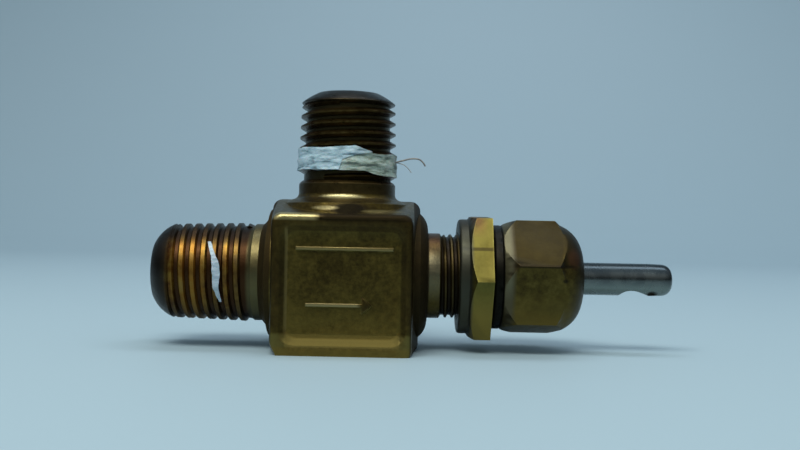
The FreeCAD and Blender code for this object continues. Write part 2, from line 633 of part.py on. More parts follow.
def make_tape_shred():
    """A strip of the tape's thickness, cut from a sleeve that fits the inlet's crests."""
    far = "(Sizes.shred_place + Sizes.shred_length / 2)"
    near = "(Sizes.shred_place - Sizes.shred_length / 2)"
    cones = []
    for name, extra in (("shred_outside", "Sizes.tape_thickness"), ("shred_inside", "0")):
        cone = doc.addObject("Part::Cone", name)
        cone.setExpression("Radius1", f"{crest_radius(far)} + {extra}")
        cone.setExpression("Radius2", f"{crest_radius(near)} + {extra}")
        cone.setExpression("Height", "Sizes.shred_length")
        cone.Placement.Rotation = FreeCAD.Rotation(FreeCAD.Vector(0, 1, 0), 90)
        cone.setExpression("Placement.Base.x", f"-{far}")
        cones.append(cone)
    sleeve = doc.addObject("Part::Cut", "shred_sleeve")
    sleeve.Base, sleeve.Tool = cones

    lean_sine = "sin(Sizes.shred_lean * 1deg)"
    lean_cosine = "cos(Sizes.shred_lean * 1deg)"
    strip = doc.addObject("Part::Box", "shred_strip")
    strip.setExpression("Length", "Sizes.shred_width")
    strip.setExpression("Width", "Sizes.collar_diameter")
    strip.setExpression("Height", "Sizes.shred_length")
    strip.Placement.Rotation = FreeCAD.Rotation(FreeCAD.Vector(0, -1, 0), worked_out("Sizes.shred_lean"))
    strip.setExpression("Placement.Rotation.Angle", "Sizes.shred_lean * 1deg")
    strip.setExpression("Placement.Base.x", "-Sizes.shred_place"
                        f" - Sizes.shred_width / 2 * {lean_cosine} + Sizes.shred_length / 2 * {lean_sine}")
    strip.setExpression("Placement.Base.y", "-Sizes.collar_diameter")
    strip.setExpression("Placement.Base.z", "Sizes.shred_rise"
                        f" - Sizes.shred_width / 2 * {lean_sine} - Sizes.shred_length / 2 * {lean_cosine}")
    shred = doc.addObject("Part::Common", "tape_shred")
    shred.Label = "tape_shred"
    shred.Base, shred.Tool = sleeve, strip
    shred.setExpression("Placement.Base.z", "Sizes.stem_height")
    doc.recompute()
    return shred


sub_parts = [
    make_valve_body(),
    make_stem(),
    make_gland_washer(),
    make_packing_ring("lower_packing_ring", 0),
    make_packing_ring("upper_packing_ring", 1),
    make_packing_gland(),
    make_packing_nut(),
    make_panel_nut(),
    make_thread_tape(),
    make_tape_shred(),
]
doc.recompute()

failed = [o.Name for o in doc.Objects if "Invalid" in o.State or "Error" in o.State]
failed += [p.Label for p in sub_parts if p.Shape.isNull() or not p.Shape.isValid()]
if failed:
    raise RuntimeError(f"failed objects: {failed}")

os.makedirs("parts", exist_ok=True)
for part in sub_parts:
    part.Shape.exportStep(f"parts/{part.Label}.step")
    print(part.Label, len(part.Shape.Solids), "solid", round(part.Shape.Volume, 2), "cubic mm")
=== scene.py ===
# %% [markdown]
# # A small brass regulating valve
# An angle valve for refrigeration and ventilation pipework: gas or liquid comes in through the
# left port, is throttled by a needle on the end of the stem, and leaves through the top port.
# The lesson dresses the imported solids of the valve. Everything is modelled in millimetres about
# the point where the stem axis meets the outlet axis, and put in its place at the end.

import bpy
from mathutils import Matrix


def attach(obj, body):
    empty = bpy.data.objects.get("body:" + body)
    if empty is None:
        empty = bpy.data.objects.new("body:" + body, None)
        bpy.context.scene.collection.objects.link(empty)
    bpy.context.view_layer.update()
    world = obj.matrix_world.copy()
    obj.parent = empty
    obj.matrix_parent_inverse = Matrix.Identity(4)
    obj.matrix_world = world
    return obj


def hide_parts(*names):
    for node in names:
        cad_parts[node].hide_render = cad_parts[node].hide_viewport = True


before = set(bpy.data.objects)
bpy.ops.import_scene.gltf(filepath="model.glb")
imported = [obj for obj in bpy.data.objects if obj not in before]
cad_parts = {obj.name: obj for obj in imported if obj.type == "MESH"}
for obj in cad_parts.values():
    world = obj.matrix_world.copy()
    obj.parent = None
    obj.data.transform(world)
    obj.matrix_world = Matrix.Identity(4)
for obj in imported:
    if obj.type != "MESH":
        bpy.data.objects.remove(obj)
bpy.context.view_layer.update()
print("packed pieces:", ", ".join(sorted(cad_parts)))

# %% [markdown]
# The stem axis lies 9.85 mm above the flat base. One millimetre is a thousandth of Blender's
# metre, so a piece is finished by lifting its mesh by that height and scaling it to a thousandth.
# Every piece is then tied to the body that it moves with and told what it is made of.

# %% Tools used throughout
import math

import bmesh
import bpy
from mathutils import Matrix, Vector, noise

STEM_HEIGHT = 9.85
MILLIMETRE = 0.001
FULL_TURN = 2 * math.pi
SMOOTH_BELOW = math.radians(32)


def as_object(bm, name):
    mesh = bpy.data.meshes.new(name)
    bm.to_mesh(mesh)
    bm.free()
    made = bpy.data.objects.new(name, mesh)
    bpy.context.scene.collection.objects.link(made)
    return made


def finish_piece(bm, name, body, replaces=None):
    """Turn a millimetre bmesh into a piece of the valve that moves with one of its bodies."""
    bmesh.ops.translate(bm, verts=bm.verts, vec=(0, 0, STEM_HEIGHT))
    bmesh.ops.scale(bm, verts=bm.verts, vec=(MILLIMETRE, MILLIMETRE, MILLIMETRE))
    for edge in bm.edges:
        edge.smooth = len(edge.link_faces) == 2 and edge.calc_face_angle() < SMOOTH_BELOW
    for face in bm.faces:
        face.smooth = True
    piece = as_object(bm, name)
    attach(piece, body)
    if replaces:
        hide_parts(replaces)
    print(name, "has", len(piece.data.polygons), "faces")
    return piece


print("the stem axis lies", STEM_HEIGHT, "mm above the base")

# %% [markdown]
# Most of the valve is turned on a lathe. A turned form is half its outline, spun round the axis:
# the outline is a list of (distance along the axis, radius), and it starts and ends on the axis.
# A spin is used instead of a Screw modifier because the result can be cut and joined at once.

# %% Turning
def turned(profile, steps=96):
    bm = bmesh.new()
    verts = [bm.verts.new((along, 0, radius)) for along, radius in profile]
    edges = [bm.edges.new(run) for run in zip(verts, verts[1:])]
    bmesh.ops.spin(bm, geom=verts + edges, cent=(0, 0, 0), axis=(1, 0, 0), dvec=(0, 0, 0),
                   angle=FULL_TURN, steps=steps, use_merge=True)
    bmesh.ops.remove_doubles(bm, verts=bm.verts, dist=0.0005)
    bmesh.ops.recalc_face_normals(bm, faces=bm.faces)
    return bm


def arc(start, end, bulge, steps=6):
    """Points along a shallow curve that leaves its chord by bulge times its length."""
    (x0, y0), (x1, y1) = start, end
    points = []
    for step in range(steps + 1):
        share = step / steps
        rise = 4 * share * (1 - share) * bulge
        points.append((x0 + (x1 - x0) * share - (y1 - y0) * rise,
                       y0 + (y1 - y0) * share + (x1 - x0) * rise))
    return points


print("a turned disc has", len(turned([(0, 0), (0, 1), (1, 1), (1, 0)]).faces), "faces")

# %% [markdown]
# Other cuts and marks are a flat outline pushed straight through, as a file or a die leaves them.
# A finished form is then laid the right way: the ports are drawn along the stem's axis and turned
# to the left or upwards.

# %% Pushing out and placing
TO_INLET = Matrix.Rotation(math.pi, 4, "Z")
TO_OUTLET = Matrix.Rotation(-math.pi / 2, 4, "Y")


def flat(outline):
    """One face with the outline's points as its corners."""
    bm = bmesh.new()
    bm.faces.new([bm.verts.new(point) for point in outline])
    return bm


def push_out(bm, push):
    """Push a flat shape out into a solid. Returns the solid's far vertices."""
    pushed = bmesh.ops.extrude_face_region(bm, geom=bm.faces[:])
    far = [v for v in pushed["geom"] if isinstance(v, bmesh.types.BMVert)]
    bmesh.ops.translate(bm, verts=far, vec=push)
    bmesh.ops.recalc_face_normals(bm, faces=bm.faces)
    return far


def placed(bm, matrix):
    bmesh.ops.transform(bm, matrix=matrix, verts=bm.verts)
    return bm


print("the inlet points along", tuple(round(v) for v in TO_INLET @ Vector((1, 0, 0))),
      "and the outlet along", tuple(round(v) for v in TO_OUTLET @ Vector((1, 0, 0))))

# %% [markdown]
# Pieces are cut from and joined to each other as in the workshop: the forging first, then its
# ports, then the drillings. The exact Boolean does this, and its result is read back into a mesh
# at once, so that no hidden cutter stays in the scene.

# %% Joining and cutting
def combine(first, second, operation):
    """first UNION, DIFFERENCE or INTERSECT second, as one new bmesh. Both are used up."""
    base, other = as_object(first, "base"), as_object(second, "other")
    modifier = base.modifiers.new("combine", "BOOLEAN")
    modifier.object, modifier.operation, modifier.solver = other, operation, "EXACT"
    mesh = bpy.data.meshes.new_from_object(base.evaluated_get(bpy.context.evaluated_depsgraph_get()))
    result = bmesh.new()
    result.from_mesh(mesh)
    for used in (base, other):
        used_mesh = used.data
        bpy.data.objects.remove(used)
        bpy.data.meshes.remove(used_mesh)
    bpy.data.meshes.remove(mesh)
    return result


def soften(bm, size, segments=2, sharper_than=34):
    """Break the edges that are sharper than an angle in degrees, as a file or tumbling does."""
    sharp = math.radians(sharper_than)
    edges = [e for e in bm.edges if len(e.link_faces) == 2 and e.calc_face_angle() > sharp]
    bmesh.ops.bevel(bm, geom=edges, offset=size, offset_type="OFFSET", segments=segments, profile=0.5,
                    affect="EDGES", material=-1, clamp_overlap=True)
    return bm


disc, hole = turned([(0, 0), (0, 2), (1, 2), (1, 0)]), turned([(-1, 0), (-1, 1), (2, 1), (2, 0)])
print("a ring cut from a disc has", len(combine(disc, hole, "DIFFERENCE").faces), "faces")

# %% [markdown]
# The block is a forging, so its faces lean: it is widest at the middle plane, where the two dies
# met. It is lofted through sections, each a rectangle with rounded corners: from the parting
# plane out to the rounded rim, over the narrow border, down the sloping wall of the recess to its
# floor. Bridging matched loops keeps every corner's rounding clean. The half is mirrored.

# %% Sections of the block
BLOCK_SIDE, BLOCK_TOP, BLOCK_DEPTH = 9.85, 9.8, 9.7
SIDE_DRAFT, TOP_DRAFT = math.radians(6), math.radians(12)
FORGED_BASE = -STEM_HEIGHT - 0.6
CORNER_ROUND, RIM_ROUND, RECESS_ROUND = 1.3, 0.6, 1.8
SIDE_BORDER, END_BORDER = 0.95, 1.35
RECESS_WALL = ((-0.12, 0), (0.0, 0.05), (0.1, 0.14), (0.62, 0.56), (0.74, 0.65), (0.92, 0.7))
RECESS_SHIFT = 0.2


def outer_sections():
    """(side, bottom, top, corner, depth) from the parting plane out and round the rim."""
    start = BLOCK_DEPTH - RIM_ROUND
    side = BLOCK_SIDE - start * math.tan(SIDE_DRAFT)
    top = BLOCK_TOP - start * math.tan(TOP_DRAFT)
    sections = [(BLOCK_SIDE, FORGED_BASE, BLOCK_TOP, CORNER_ROUND, 0)]
    for step in range(5):
        turn = math.radians(22.5 * step)
        inward = RIM_ROUND * (1 - math.cos(turn))
        sections.append((side - inward, FORGED_BASE + inward, top - inward * 0.8,
                         CORNER_ROUND - inward * 0.4, start + RIM_ROUND * math.sin(turn)))
    return sections


def recess_sections():
    """The same for each (inward, sunk) step of the wall, which stands a little to the right."""
    side = BLOCK_SIDE - BLOCK_DEPTH * math.tan(SIDE_DRAFT) - SIDE_BORDER
    top = BLOCK_TOP - BLOCK_DEPTH * math.tan(TOP_DRAFT) - END_BORDER
    return [(side - inward, -STEM_HEIGHT + END_BORDER + inward, top - inward,
             RECESS_ROUND - inward * 0.5, BLOCK_DEPTH - sunk, RECESS_SHIFT)
            for inward, sunk in RECESS_WALL]


print("block sections:", len(outer_sections()), "outside and", len(recess_sections()), "in the recess")

# %% [markdown]
# Each section is drawn in its own plane: four corners, rounded by a bevel of the vertices. The
# machined base is cut flat at the end, as on the real block, and closed again.

# %% Block
def section(bm, side, bottom, top, radius, depth, shift=0.0):
    """A rounded rectangle facing the front. Returns its edges and its face."""
    known = set(bm.edges)
    places = ((-side, bottom), (side, bottom), (side, top), (-side, top))
    corners = [bm.verts.new((x + shift, -depth, z)) for x, z in places]
    bm.faces.new(corners)
    bmesh.ops.bevel(bm, geom=corners, offset=radius, offset_type="OFFSET", segments=6, profile=0.5,
                    affect="VERTICES", material=-1)
    edges = [edge for edge in bm.edges if edge not in known]
    return edges, edges[0].link_faces[0]


def forged_block():
    bm = bmesh.new()
    first, *others = outer_sections() + recess_sections()
    outline, face = section(bm, *first)
    for values in others:
        bmesh.ops.delete(bm, geom=[face], context="FACES_ONLY")
        next_outline, face = section(bm, *values)
        bmesh.ops.bridge_loops(bm, edges=[e for e in outline + next_outline if e.is_valid])
        outline = next_outline
    bmesh.ops.mirror(bm, geom=bm.verts[:] + bm.edges[:] + bm.faces[:], axis="Y", merge_dist=0.001)
    bmesh.ops.recalc_face_normals(bm, faces=bm.faces)
    bmesh.ops.bisect_plane(bm, geom=bm.verts[:] + bm.edges[:] + bm.faces[:], clear_outer=True,
                           plane_co=(0, 0, -STEM_HEIGHT), plane_no=(0, 0, -1))
    bmesh.ops.holes_fill(bm, edges=[e for e in bm.edges if e.is_boundary], sides=0)
    return bm


block = forged_block()
print("block:", len(block.faces), "faces, open edges:", sum(e.is_boundary for e in block.edges))

# %% [markdown]
# The front recess carries forged marks: a straight bar above and a flow arrow below, both
# soft-edged because the die wears. Each is a flat shape pushed out by 0.3 mm, with its edges
# rounded by a bevel. Their feet go a little into the floor, so the join is clean. The back recess
# is left plain.

# %% Bar and arrow
FLOOR_DEPTH, LINE_WIDTH, RELIEF, FOOT, MARK_ROUND = 9.0, 0.45, 0.3, 0.2, 0.13
MARK_SHIFT = 0.35
BAR_REACH, BAR_HEIGHT = 6.1, 3.55
ARROW_TAIL, ARROW_NECK, ARROW_TIP = -4.8, 2.2, 3.5
ARROW_HEIGHT, ARROW_HEAD = -3.5, 1.1


def raised_mark(outline):
    bm = flat([(x + MARK_SHIFT, -FLOOR_DEPTH + FOOT, z) for x, z in outline])
    top = push_out(bm, (0, -FOOT - RELIEF, 0))
    edges = [e for e in bm.edges if all(v in top for v in e.verts)]
    bmesh.ops.bevel(bm, geom=edges, offset=MARK_ROUND, offset_type="OFFSET", segments=3, profile=0.5,
                    affect="EDGES", material=-1)
    return bm


half = LINE_WIDTH / 2
bar = raised_mark([(-BAR_REACH, BAR_HEIGHT - half), (BAR_REACH, BAR_HEIGHT - half),
                   (BAR_REACH, BAR_HEIGHT + half), (-BAR_REACH, BAR_HEIGHT + half)])
arrow = raised_mark([(ARROW_TAIL, ARROW_HEIGHT - half), (ARROW_NECK, ARROW_HEIGHT - half),
                     (ARROW_NECK, ARROW_HEIGHT - ARROW_HEAD), (ARROW_TIP, ARROW_HEIGHT),
                     (ARROW_NECK, ARROW_HEIGHT + ARROW_HEAD), (ARROW_NECK, ARROW_HEIGHT + half),
                     (ARROW_TAIL, ARROW_HEIGHT + half)])
block = combine(block, bar, "UNION")
block = combine(block, arrow, "UNION")
print("block with bar and arrow:", len(block.faces), "faces")

# %% [markdown]
# The block has lost a little of its lower left front corner in use. A curved wedge takes it off.
# The wedge leans outwards on its way back, so the wear fades out before the middle plane.

# %% Worn corner
WEDGE_OUTLINE = ((-10.6, -7.0), (-8.95, -7.0), (-8.8, -7.9), (-8.45, -8.9), (-8.1, -9.5),
                 (-7.85, -10.2), (-10.6, -10.2))
WEDGE_FRONT, WEDGE_LEAN = 9.8, 2.1

wedge = flat([(x, -WEDGE_FRONT, z) for x, z in WEDGE_OUTLINE])
push_out(wedge, (-WEDGE_LEAN, WEDGE_FRONT, 0))
block = combine(block, wedge, "DIFFERENCE")
print("block with its worn corner:", len(block.faces), "faces")

# %% [markdown]
# The two ports are alike: a round boss and a hollow flare at the block, a plain collar, the
# threaded length, and a rounded lead-in at the end face. The lathe leaves the thread's roots as a
# plain cone here, and the ridge of the thread is wound on it afterwards. The inlet's thread is
# half filled with old sealant, so its roots lie higher.

# %% Ports
PIPE_PITCH, PIPE_DEPTH, FILLED_DEPTH, TAPER = 1.4111, 0.78, 0.42, 0.0625
THREAD_FOOT, THREAD_FOOT_RADIUS, COLLAR = 12.1, 6.57, 6.42
INLET_REACH, OUTLET_REACH = 25.1, 24.0
INLET_LEAD, OUTLET_LEAD = 2.5, 1.5


def crest(along):
    """Radius of a port's thread crests at a distance from the middle."""
    return THREAD_FOOT_RADIUS - TAPER / 2 * (along - THREAD_FOOT)


def port(reach, lead, lead_bulge, block_face, flare, flare_foot, hollow, boss_top, root):
    lead_end = reach - lead
    return turned([
        (0.0, 0.0), (0.0, 4.2), (block_face - 2, 8.8), (block_face - 0.5, boss_top),
        (block_face, flare_foot),
        *reversed(arc((block_face + flare, COLLAR), (block_face, flare_foot), hollow)[:-1]),
        (THREAD_FOOT - 0.25, COLLAR), (THREAD_FOOT, COLLAR - 0.2),
        (THREAD_FOOT + 0.3, crest(THREAD_FOOT) - root),
        (lead_end - 0.3, crest(lead_end) - root), (lead_end, crest(lead_end) - 0.12),
        (lead_end + 0.12, crest(lead_end) - 0.03),
        *reversed(arc((reach, 4.1), (lead_end + 0.2, crest(lead_end) - 0.06), -lead_bulge)),
        (reach, 0.0),
    ])


inlet = port(reach=INLET_REACH, lead=INLET_LEAD, lead_bulge=0.085, block_face=BLOCK_SIDE,
             flare=1.05, flare_foot=8.4, hollow=0.1, boss_top=8.6, root=FILLED_DEPTH)
outlet = port(reach=OUTLET_REACH, lead=OUTLET_LEAD, lead_bulge=0.03, block_face=BLOCK_TOP,
              flare=0.75, flare_foot=7.25, hollow=0.17, boss_top=8.25, root=PIPE_DEPTH)
forging = combine(block, placed(inlet, TO_INLET), "UNION")
forging = combine(forging, placed(outlet, TO_OUTLET), "UNION")
print("forging with its ports:", len(forging.faces), "faces")

# %% [markdown]
# The bonnet carries the stem, the packing and both nuts. It leaves the block through a flare like
# the ports', then has a short plain neck and a long fine thread, whose end is turned down.

# %% Bonnet
PANEL_PITCH, PANEL_DEPTH, BONNET_RADIUS = 0.907, 0.36, 5.555
PANEL_ROOT = BONNET_RADIUS - PANEL_DEPTH
NECK, NECK_START, NECK_END, BONNET_REACH = 5.65, BLOCK_SIDE + 1.05, 12.42, 25.0

bonnet = turned([
    (0.0, 0.0), (0.0, 4.2), (4.9, 8.2), (BLOCK_SIDE - 0.4, 8.26),
    *arc((BLOCK_SIDE, 8.2), (NECK_START, 5.95), 0.12, 8), (NECK_START, NECK), (NECK_END, NECK),
    (12.5, 5.6), (12.75, PANEL_ROOT), (24.3, PANEL_ROOT), (24.6, 5.15), (BONNET_REACH, 4.855),
    (BONNET_REACH, 0.0),
])
forging = combine(forging, bonnet, "UNION")
print("forging with its bonnet:", len(forging.faces), "faces")

# %% [markdown]
# The passages are drilled last: both ports are bored 15 mm deep and end in the drill's cone, the
# inlet goes on as the seat orifice, the outlet meets the stem's bore, and the bonnet is opened out
# for the packing. One cutter, turned from each outline, is taken away at a time.

# %% Drillings
ORIFICE, PORT_BORE, STEM_BORE, PACKING_BORE = 2.2, 3.55, 3.225, 3.55
BORE_DEPTH, DRILL_CONE, PACKING_START = 15.0, 0.81, 18.5
CHAMBER_END = -3.2
PAST_THE_END = 26


def drill(start, narrow, wide_start, wide, cone=0.0):
    return turned([(start, 0), (start, narrow), (wide_start - cone, narrow), (wide_start, wide),
                   (PAST_THE_END, wide), (PAST_THE_END, 0)])


inlet_drill = drill(CHAMBER_END, ORIFICE, INLET_REACH - BORE_DEPTH, PORT_BORE, DRILL_CONE)
outlet_drill = drill(0, ORIFICE, OUTLET_REACH - BORE_DEPTH, PORT_BORE, DRILL_CONE)
drills = [placed(inlet_drill, TO_INLET), placed(outlet_drill, TO_OUTLET),
          drill(CHAMBER_END, STEM_BORE, PACKING_START, PACKING_BORE)]
for cutter in drills:
    forging = combine(forging, cutter, "DIFFERENCE")
print("drilled forging:", len(forging.faces), "faces")

# %% [markdown]
# A thread is a ridge that winds round a cone. Its section, a triangle with a narrow flat crest,
# is spun with a step forward at each turn, and the ridge is then pulled in along the taper and
# flattened at both ends, where a real die runs out. All three are right-hand: a point that turns
# by the right-hand rule about the axis moves forward along it. The phase turns the crests to
# where they stand on the real valve.

# %% Threads
FLANK = math.radians(30)
BURIED, EASED = 0.12, 0.06
RUN_OUT_START, RUN_OUT_RATE = 0.4, 1.6
STEPS_PER_TURN = 60
PIPE_START, PANEL_START, PANEL_END = 12.55, 12.95, 24.5


def wind_thread(start, end, root, pitch, depth, crest_flat, phase, taper=0.0):
    bm = bmesh.new()
    half_crest = crest_flat / 2
    foot = half_crest + depth * math.tan(FLANK) + 0.07
    outline = [(-foot, -BURIED), (-half_crest - 0.05, depth - EASED), (-half_crest, depth),
               (half_crest, depth), (half_crest + 0.05, depth - EASED), (foot, -BURIED)]
    turn_now = Matrix.Rotation(phase, 4, "X")
    verts = [bm.verts.new(turn_now @ Vector((start + x, 0, root + height))) for x, height in outline]
    edges = [bm.edges.new((verts[i - 1], verts[i])) for i in range(len(verts))]
    bm.faces.new(verts)
    steps = round((end - start) / pitch * STEPS_PER_TURN)
    wound = bmesh.ops.spin(bm, geom=verts + edges, cent=(0, 0, 0), axis=(1, 0, 0),
                           dvec=(pitch / STEPS_PER_TURN, 0, 0), angle=FULL_TURN * steps / STEPS_PER_TURN,
                           steps=steps, use_merge=False)
    last = [e for e in wound["geom_last"] if isinstance(e, bmesh.types.BMEdge)]
    bmesh.ops.holes_fill(bm, edges=last, sides=0)
    for vert in bm.verts:
        radial = Vector((0, vert.co.y, vert.co.z))
        height = radial.length - root
        from_end = min(vert.co.x - start, end - vert.co.x) + RUN_OUT_START
        if height > 0:
            height *= max(0.0, min(1.0, from_end / pitch * RUN_OUT_RATE))
        radius = root + height - taper / 2 * (vert.co.x - start)
        vert.co = Vector((vert.co.x, 0, 0)) + radial.normalized() * radius
    bmesh.ops.recalc_face_normals(bm, faces=bm.faces)
    return bm


def pipe_thread(end, depth, crest_flat, phase):
    root = crest(PIPE_START) - depth
    return wind_thread(PIPE_START, end, root, PIPE_PITCH, depth, crest_flat, phase, TAPER)


inlet_thread = pipe_thread(INLET_REACH - INLET_LEAD, FILLED_DEPTH, crest_flat=0.5, phase=-0.276)
outlet_thread = pipe_thread(OUTLET_REACH - OUTLET_LEAD, PIPE_DEPTH, crest_flat=0.2, phase=1.106)
panel_thread = wind_thread(PANEL_START, PANEL_END, PANEL_ROOT, PANEL_PITCH, PANEL_DEPTH,
                           crest_flat=0.2, phase=0.0)
threads = [placed(inlet_thread, TO_INLET), placed(outlet_thread, TO_OUTLET), panel_thread]
print("thread ridges:", [len(ridge.faces) for ridge in threads], "faces")

# %% [markdown]
# All of it is one piece of brass, so the ridges are laid into the same mesh. Each face is then
# given the finish of its region: forged block, inlet thread, outlet thread, or bonnet. The height
# above the thread's root is kept as an attribute, because dirt stays in the roots and the crests
# are rubbed bright.

# %% One forging with its threads
FORGED, INLET, OUTLET, BONNET = range(4)


def region_of(point):
    if point.x < -10.95:
        return INLET
    if point.z > 10.6 and abs(point.x) < 8:
        return OUTLET
    if point.x > NECK_END:
        return BONNET
    return FORGED


def thread_height(point):
    """0 in the root of a thread and 1 on its crest."""
    region = region_of(point)
    if region == INLET:
        return (Vector((point.y, point.z)).length - crest(-point.x)) / FILLED_DEPTH + 1
    if region == OUTLET:
        return (Vector((point.x, point.y)).length - crest(point.z)) / PIPE_DEPTH + 1
    if region == BONNET:
        return (Vector((point.y, point.z)).length - BONNET_RADIUS) / PANEL_DEPTH + 1
    return 1.0


for ridge in threads:
    wound = bpy.data.meshes.new("wound")
    ridge.to_mesh(wound)
    ridge.free()
    forging.from_mesh(wound)
    bpy.data.meshes.remove(wound)
for face in forging.faces:
    face.material_index = region_of(face.calc_center_median())
height_layer = forging.verts.layers.float.new("thread_height")
for vert in forging.verts:
    vert[height_layer] = min(1.0, max(0.0, thread_height(vert.co)))
valve_forging = finish_piece(forging, "valve_forging", "valve", "valve_body")

# %% [markdown]
# Both nuts start as hexagon bar. The lathe turns down their ends, so the flats end in the curved
# scallops that every machined nut shows. That is a six-sided bar kept only where it lies inside
# a turned outline, then bored, and then its edges are broken by a small bevel.

# %% Nut maker
NUT_BORE, BORE_MOUTH, BROKEN_EDGE = 5.605, 5.955, 0.09
SPARE_BAR = 1.0


def hexagon_bar(across, start, end, turn):
    bm = bmesh.new()
    radius = across / 2 / math.cos(math.radians(30))
    bmesh.ops.create_circle(bm, cap_ends=True, segments=6, radius=radius)
    placed(bm, Matrix.Translation((start, 0, 0)) @ Matrix.Rotation(-turn, 4, "X")
           @ Matrix.Rotation(math.pi / 2, 4, "Y"))
    push_out(bm, (end - start, 0, 0))
    return bm


def nut(across, degrees, outline, bore):
    """Hexagon bar turned about its axis, shaped to an outline, bored, and with its edges broken."""
    bar = hexagon_bar(across, outline[0][0] - SPARE_BAR, outline[-1][0] + SPARE_BAR, math.radians(degrees))
    shaped = combine(bar, turned(outline, steps=128), "INTERSECT")
    return soften(combine(shaped, turned(bore), "DIFFERENCE"), BROKEN_EDGE)


print("13.8 mm hexagon bar has", len(hexagon_bar(13.8, 0, 1, 0).faces), "faces")

# %% [markdown]
# The packing nut has a collar and a groove at its open end, where the lathe made room for the
# thread, and a dome at the other end, where the stem comes out. Its inner face is what presses on
# the gland.

# %% Packing nut
INNER_FACE, SHANK_BORE = 27.62, 2.4

packing_nut = nut(13.8, 13, [
    (19.3, 0), (19.3, 6.55), (19.36, 6.75), (19.5, 6.86), (19.68, 6.9), (20.42, 6.9), (20.55, 6.78),
    (20.66, 6.9), (22.5, 7.97), (22.6, 8.1), (27.4, 8.1), (27.5, 7.97),
    *arc((28.36, 7.1), (31.4, 2.75), 0.165, 12), (31.4, 0),
], [(19, 0), (19, 6.0), (19.3, BORE_MOUTH), (19.65, NUT_BORE), (INNER_FACE, NUT_BORE),
    (INNER_FACE, SHANK_BORE), (32, SHANK_BORE), (32, 0)])
packing_nut = finish_piece(packing_nut, "domed_packing_nut", "packing_nut", "packing_nut")

# %% [markdown]
# The panel nut is made in the same way from wider bar. It is thin, with a broad collar on the
# side that bears on the panel and a sharp scallop where the collar meets the flats.

# %% Panel nut
panel_nut = nut(15.8, -1.6, [
    (14.9, 0), (14.9, 7.25), (14.95, 7.42), (15.07, 7.54), (15.25, 7.6), (16.1, 7.6), (16.25, 7.72),
    (17.05, 9.12), (17.1, 9.3), (19.1, 9.3), (19.15, 9.08), (19.15, 0),
], [(14, 0), (14, 6.0), (14.9, BORE_MOUTH), (15.25, NUT_BORE), (18.8, NUT_BORE), (19.15, BORE_MOUTH),
    (20, 6.0), (20, 0)])
panel_nut = finish_piece(panel_nut, "collared_panel_nut", "panel_nut", "panel_nut")

# %% [markdown]
# The stem is one turning of steel. Inside the valve it has the regulating taper, the sealing cone
# and the thread; outside it is a plain shank for the handle, which is missing. The handle's screw
# has worn a notch under it, which is cut with a curved outline pushed right through, and left a
# dimple, which is cut with a small turned point.

# %% Stem
GUIDE, SCREWED, SHANK, SHANK_END = 2.75, 3.175, 2.35, 2.15
QUARTER_ROUND = 0.207
NOTCH_OUTLINE = [
    (36.2, -2.6), (36.38, -2.15), (36.75, -1.77), (37.2, -1.52), (37.75, -1.4), (38.3, -1.42),
    (38.9, -1.53), (39.5, -1.72), (40.1, -1.93), (40.55, -2.15), (40.8, -2.6)]
NOTCH_WIDTH = 6
DIMPLE_AT, DIMPLE_TURN, DIMPLE_REACH = 40.75, math.radians(-32), 1.55

stem = turned([
    (-6.973, 0), (-6.973, 1.0), (-1.373, 2.1), (-0.247, GUIDE), (8.3, GUIDE), (8.725, SCREWED),
    (16.09, SCREWED), (16.5, 2.76), (16.5, SHANK), (31.42, SHANK), (31.5, SHANK_END), (40.6, SHANK_END),
    *arc((42.2, 2.1), (43.5, 0.8), QUARTER_ROUND, 8), (43.5, 0),
], steps=80)
notch = flat([(x, -NOTCH_WIDTH / 2, z) for x, z in NOTCH_OUTLINE])
push_out(notch, (0, NOTCH_WIDTH, 0))
stem = combine(stem, notch, "DIFFERENCE")
dimple = placed(turned([(0, 0), (0.9, 1.1), (1.2, 1.3), (1.2, 0)], steps=48),
                Matrix.Translation((DIMPLE_AT, 0, 0)) @ Matrix.Rotation(DIMPLE_TURN, 4, "X")
                @ Matrix.Rotation(math.pi / 2, 4, "Y") @ Matrix.Translation((DIMPLE_REACH, 0, 0)))
stem = combine(stem, dimple, "DIFFERENCE")
stem_piece = finish_piece(soften(stem, 0.05, sharper_than=40), "turned_stem", "stem", "stem")

# %% [markdown]
# Thread tape is a thin band wound over the threads and pulled into them, and here it is what was
# left after the joint was undone: two layers, a torn upper edge that dips towards the right, and
# loose folds. Each layer is a fine grid whose points are moved round the outlet, between the
# tape's edges and onto the thread, with noise for the folds, and thickened at the end.

# %% Thread tape
TAPE_ROWS, DEGREES_PER_COLUMN = 18, 2
TAPE_RADIUS, FILM = 6.6, 0.05


def along_points(points):
    """A value that follows straight lines through (place, value) points."""
    def value_at(place):
        for (x0, z0), (x1, z1) in zip(points, points[1:]):
            if place <= x1:
                return z0 + (z1 - z0) * max(0.0, place - x0) / (x1 - x0)
        return points[-1][1]
    return value_at


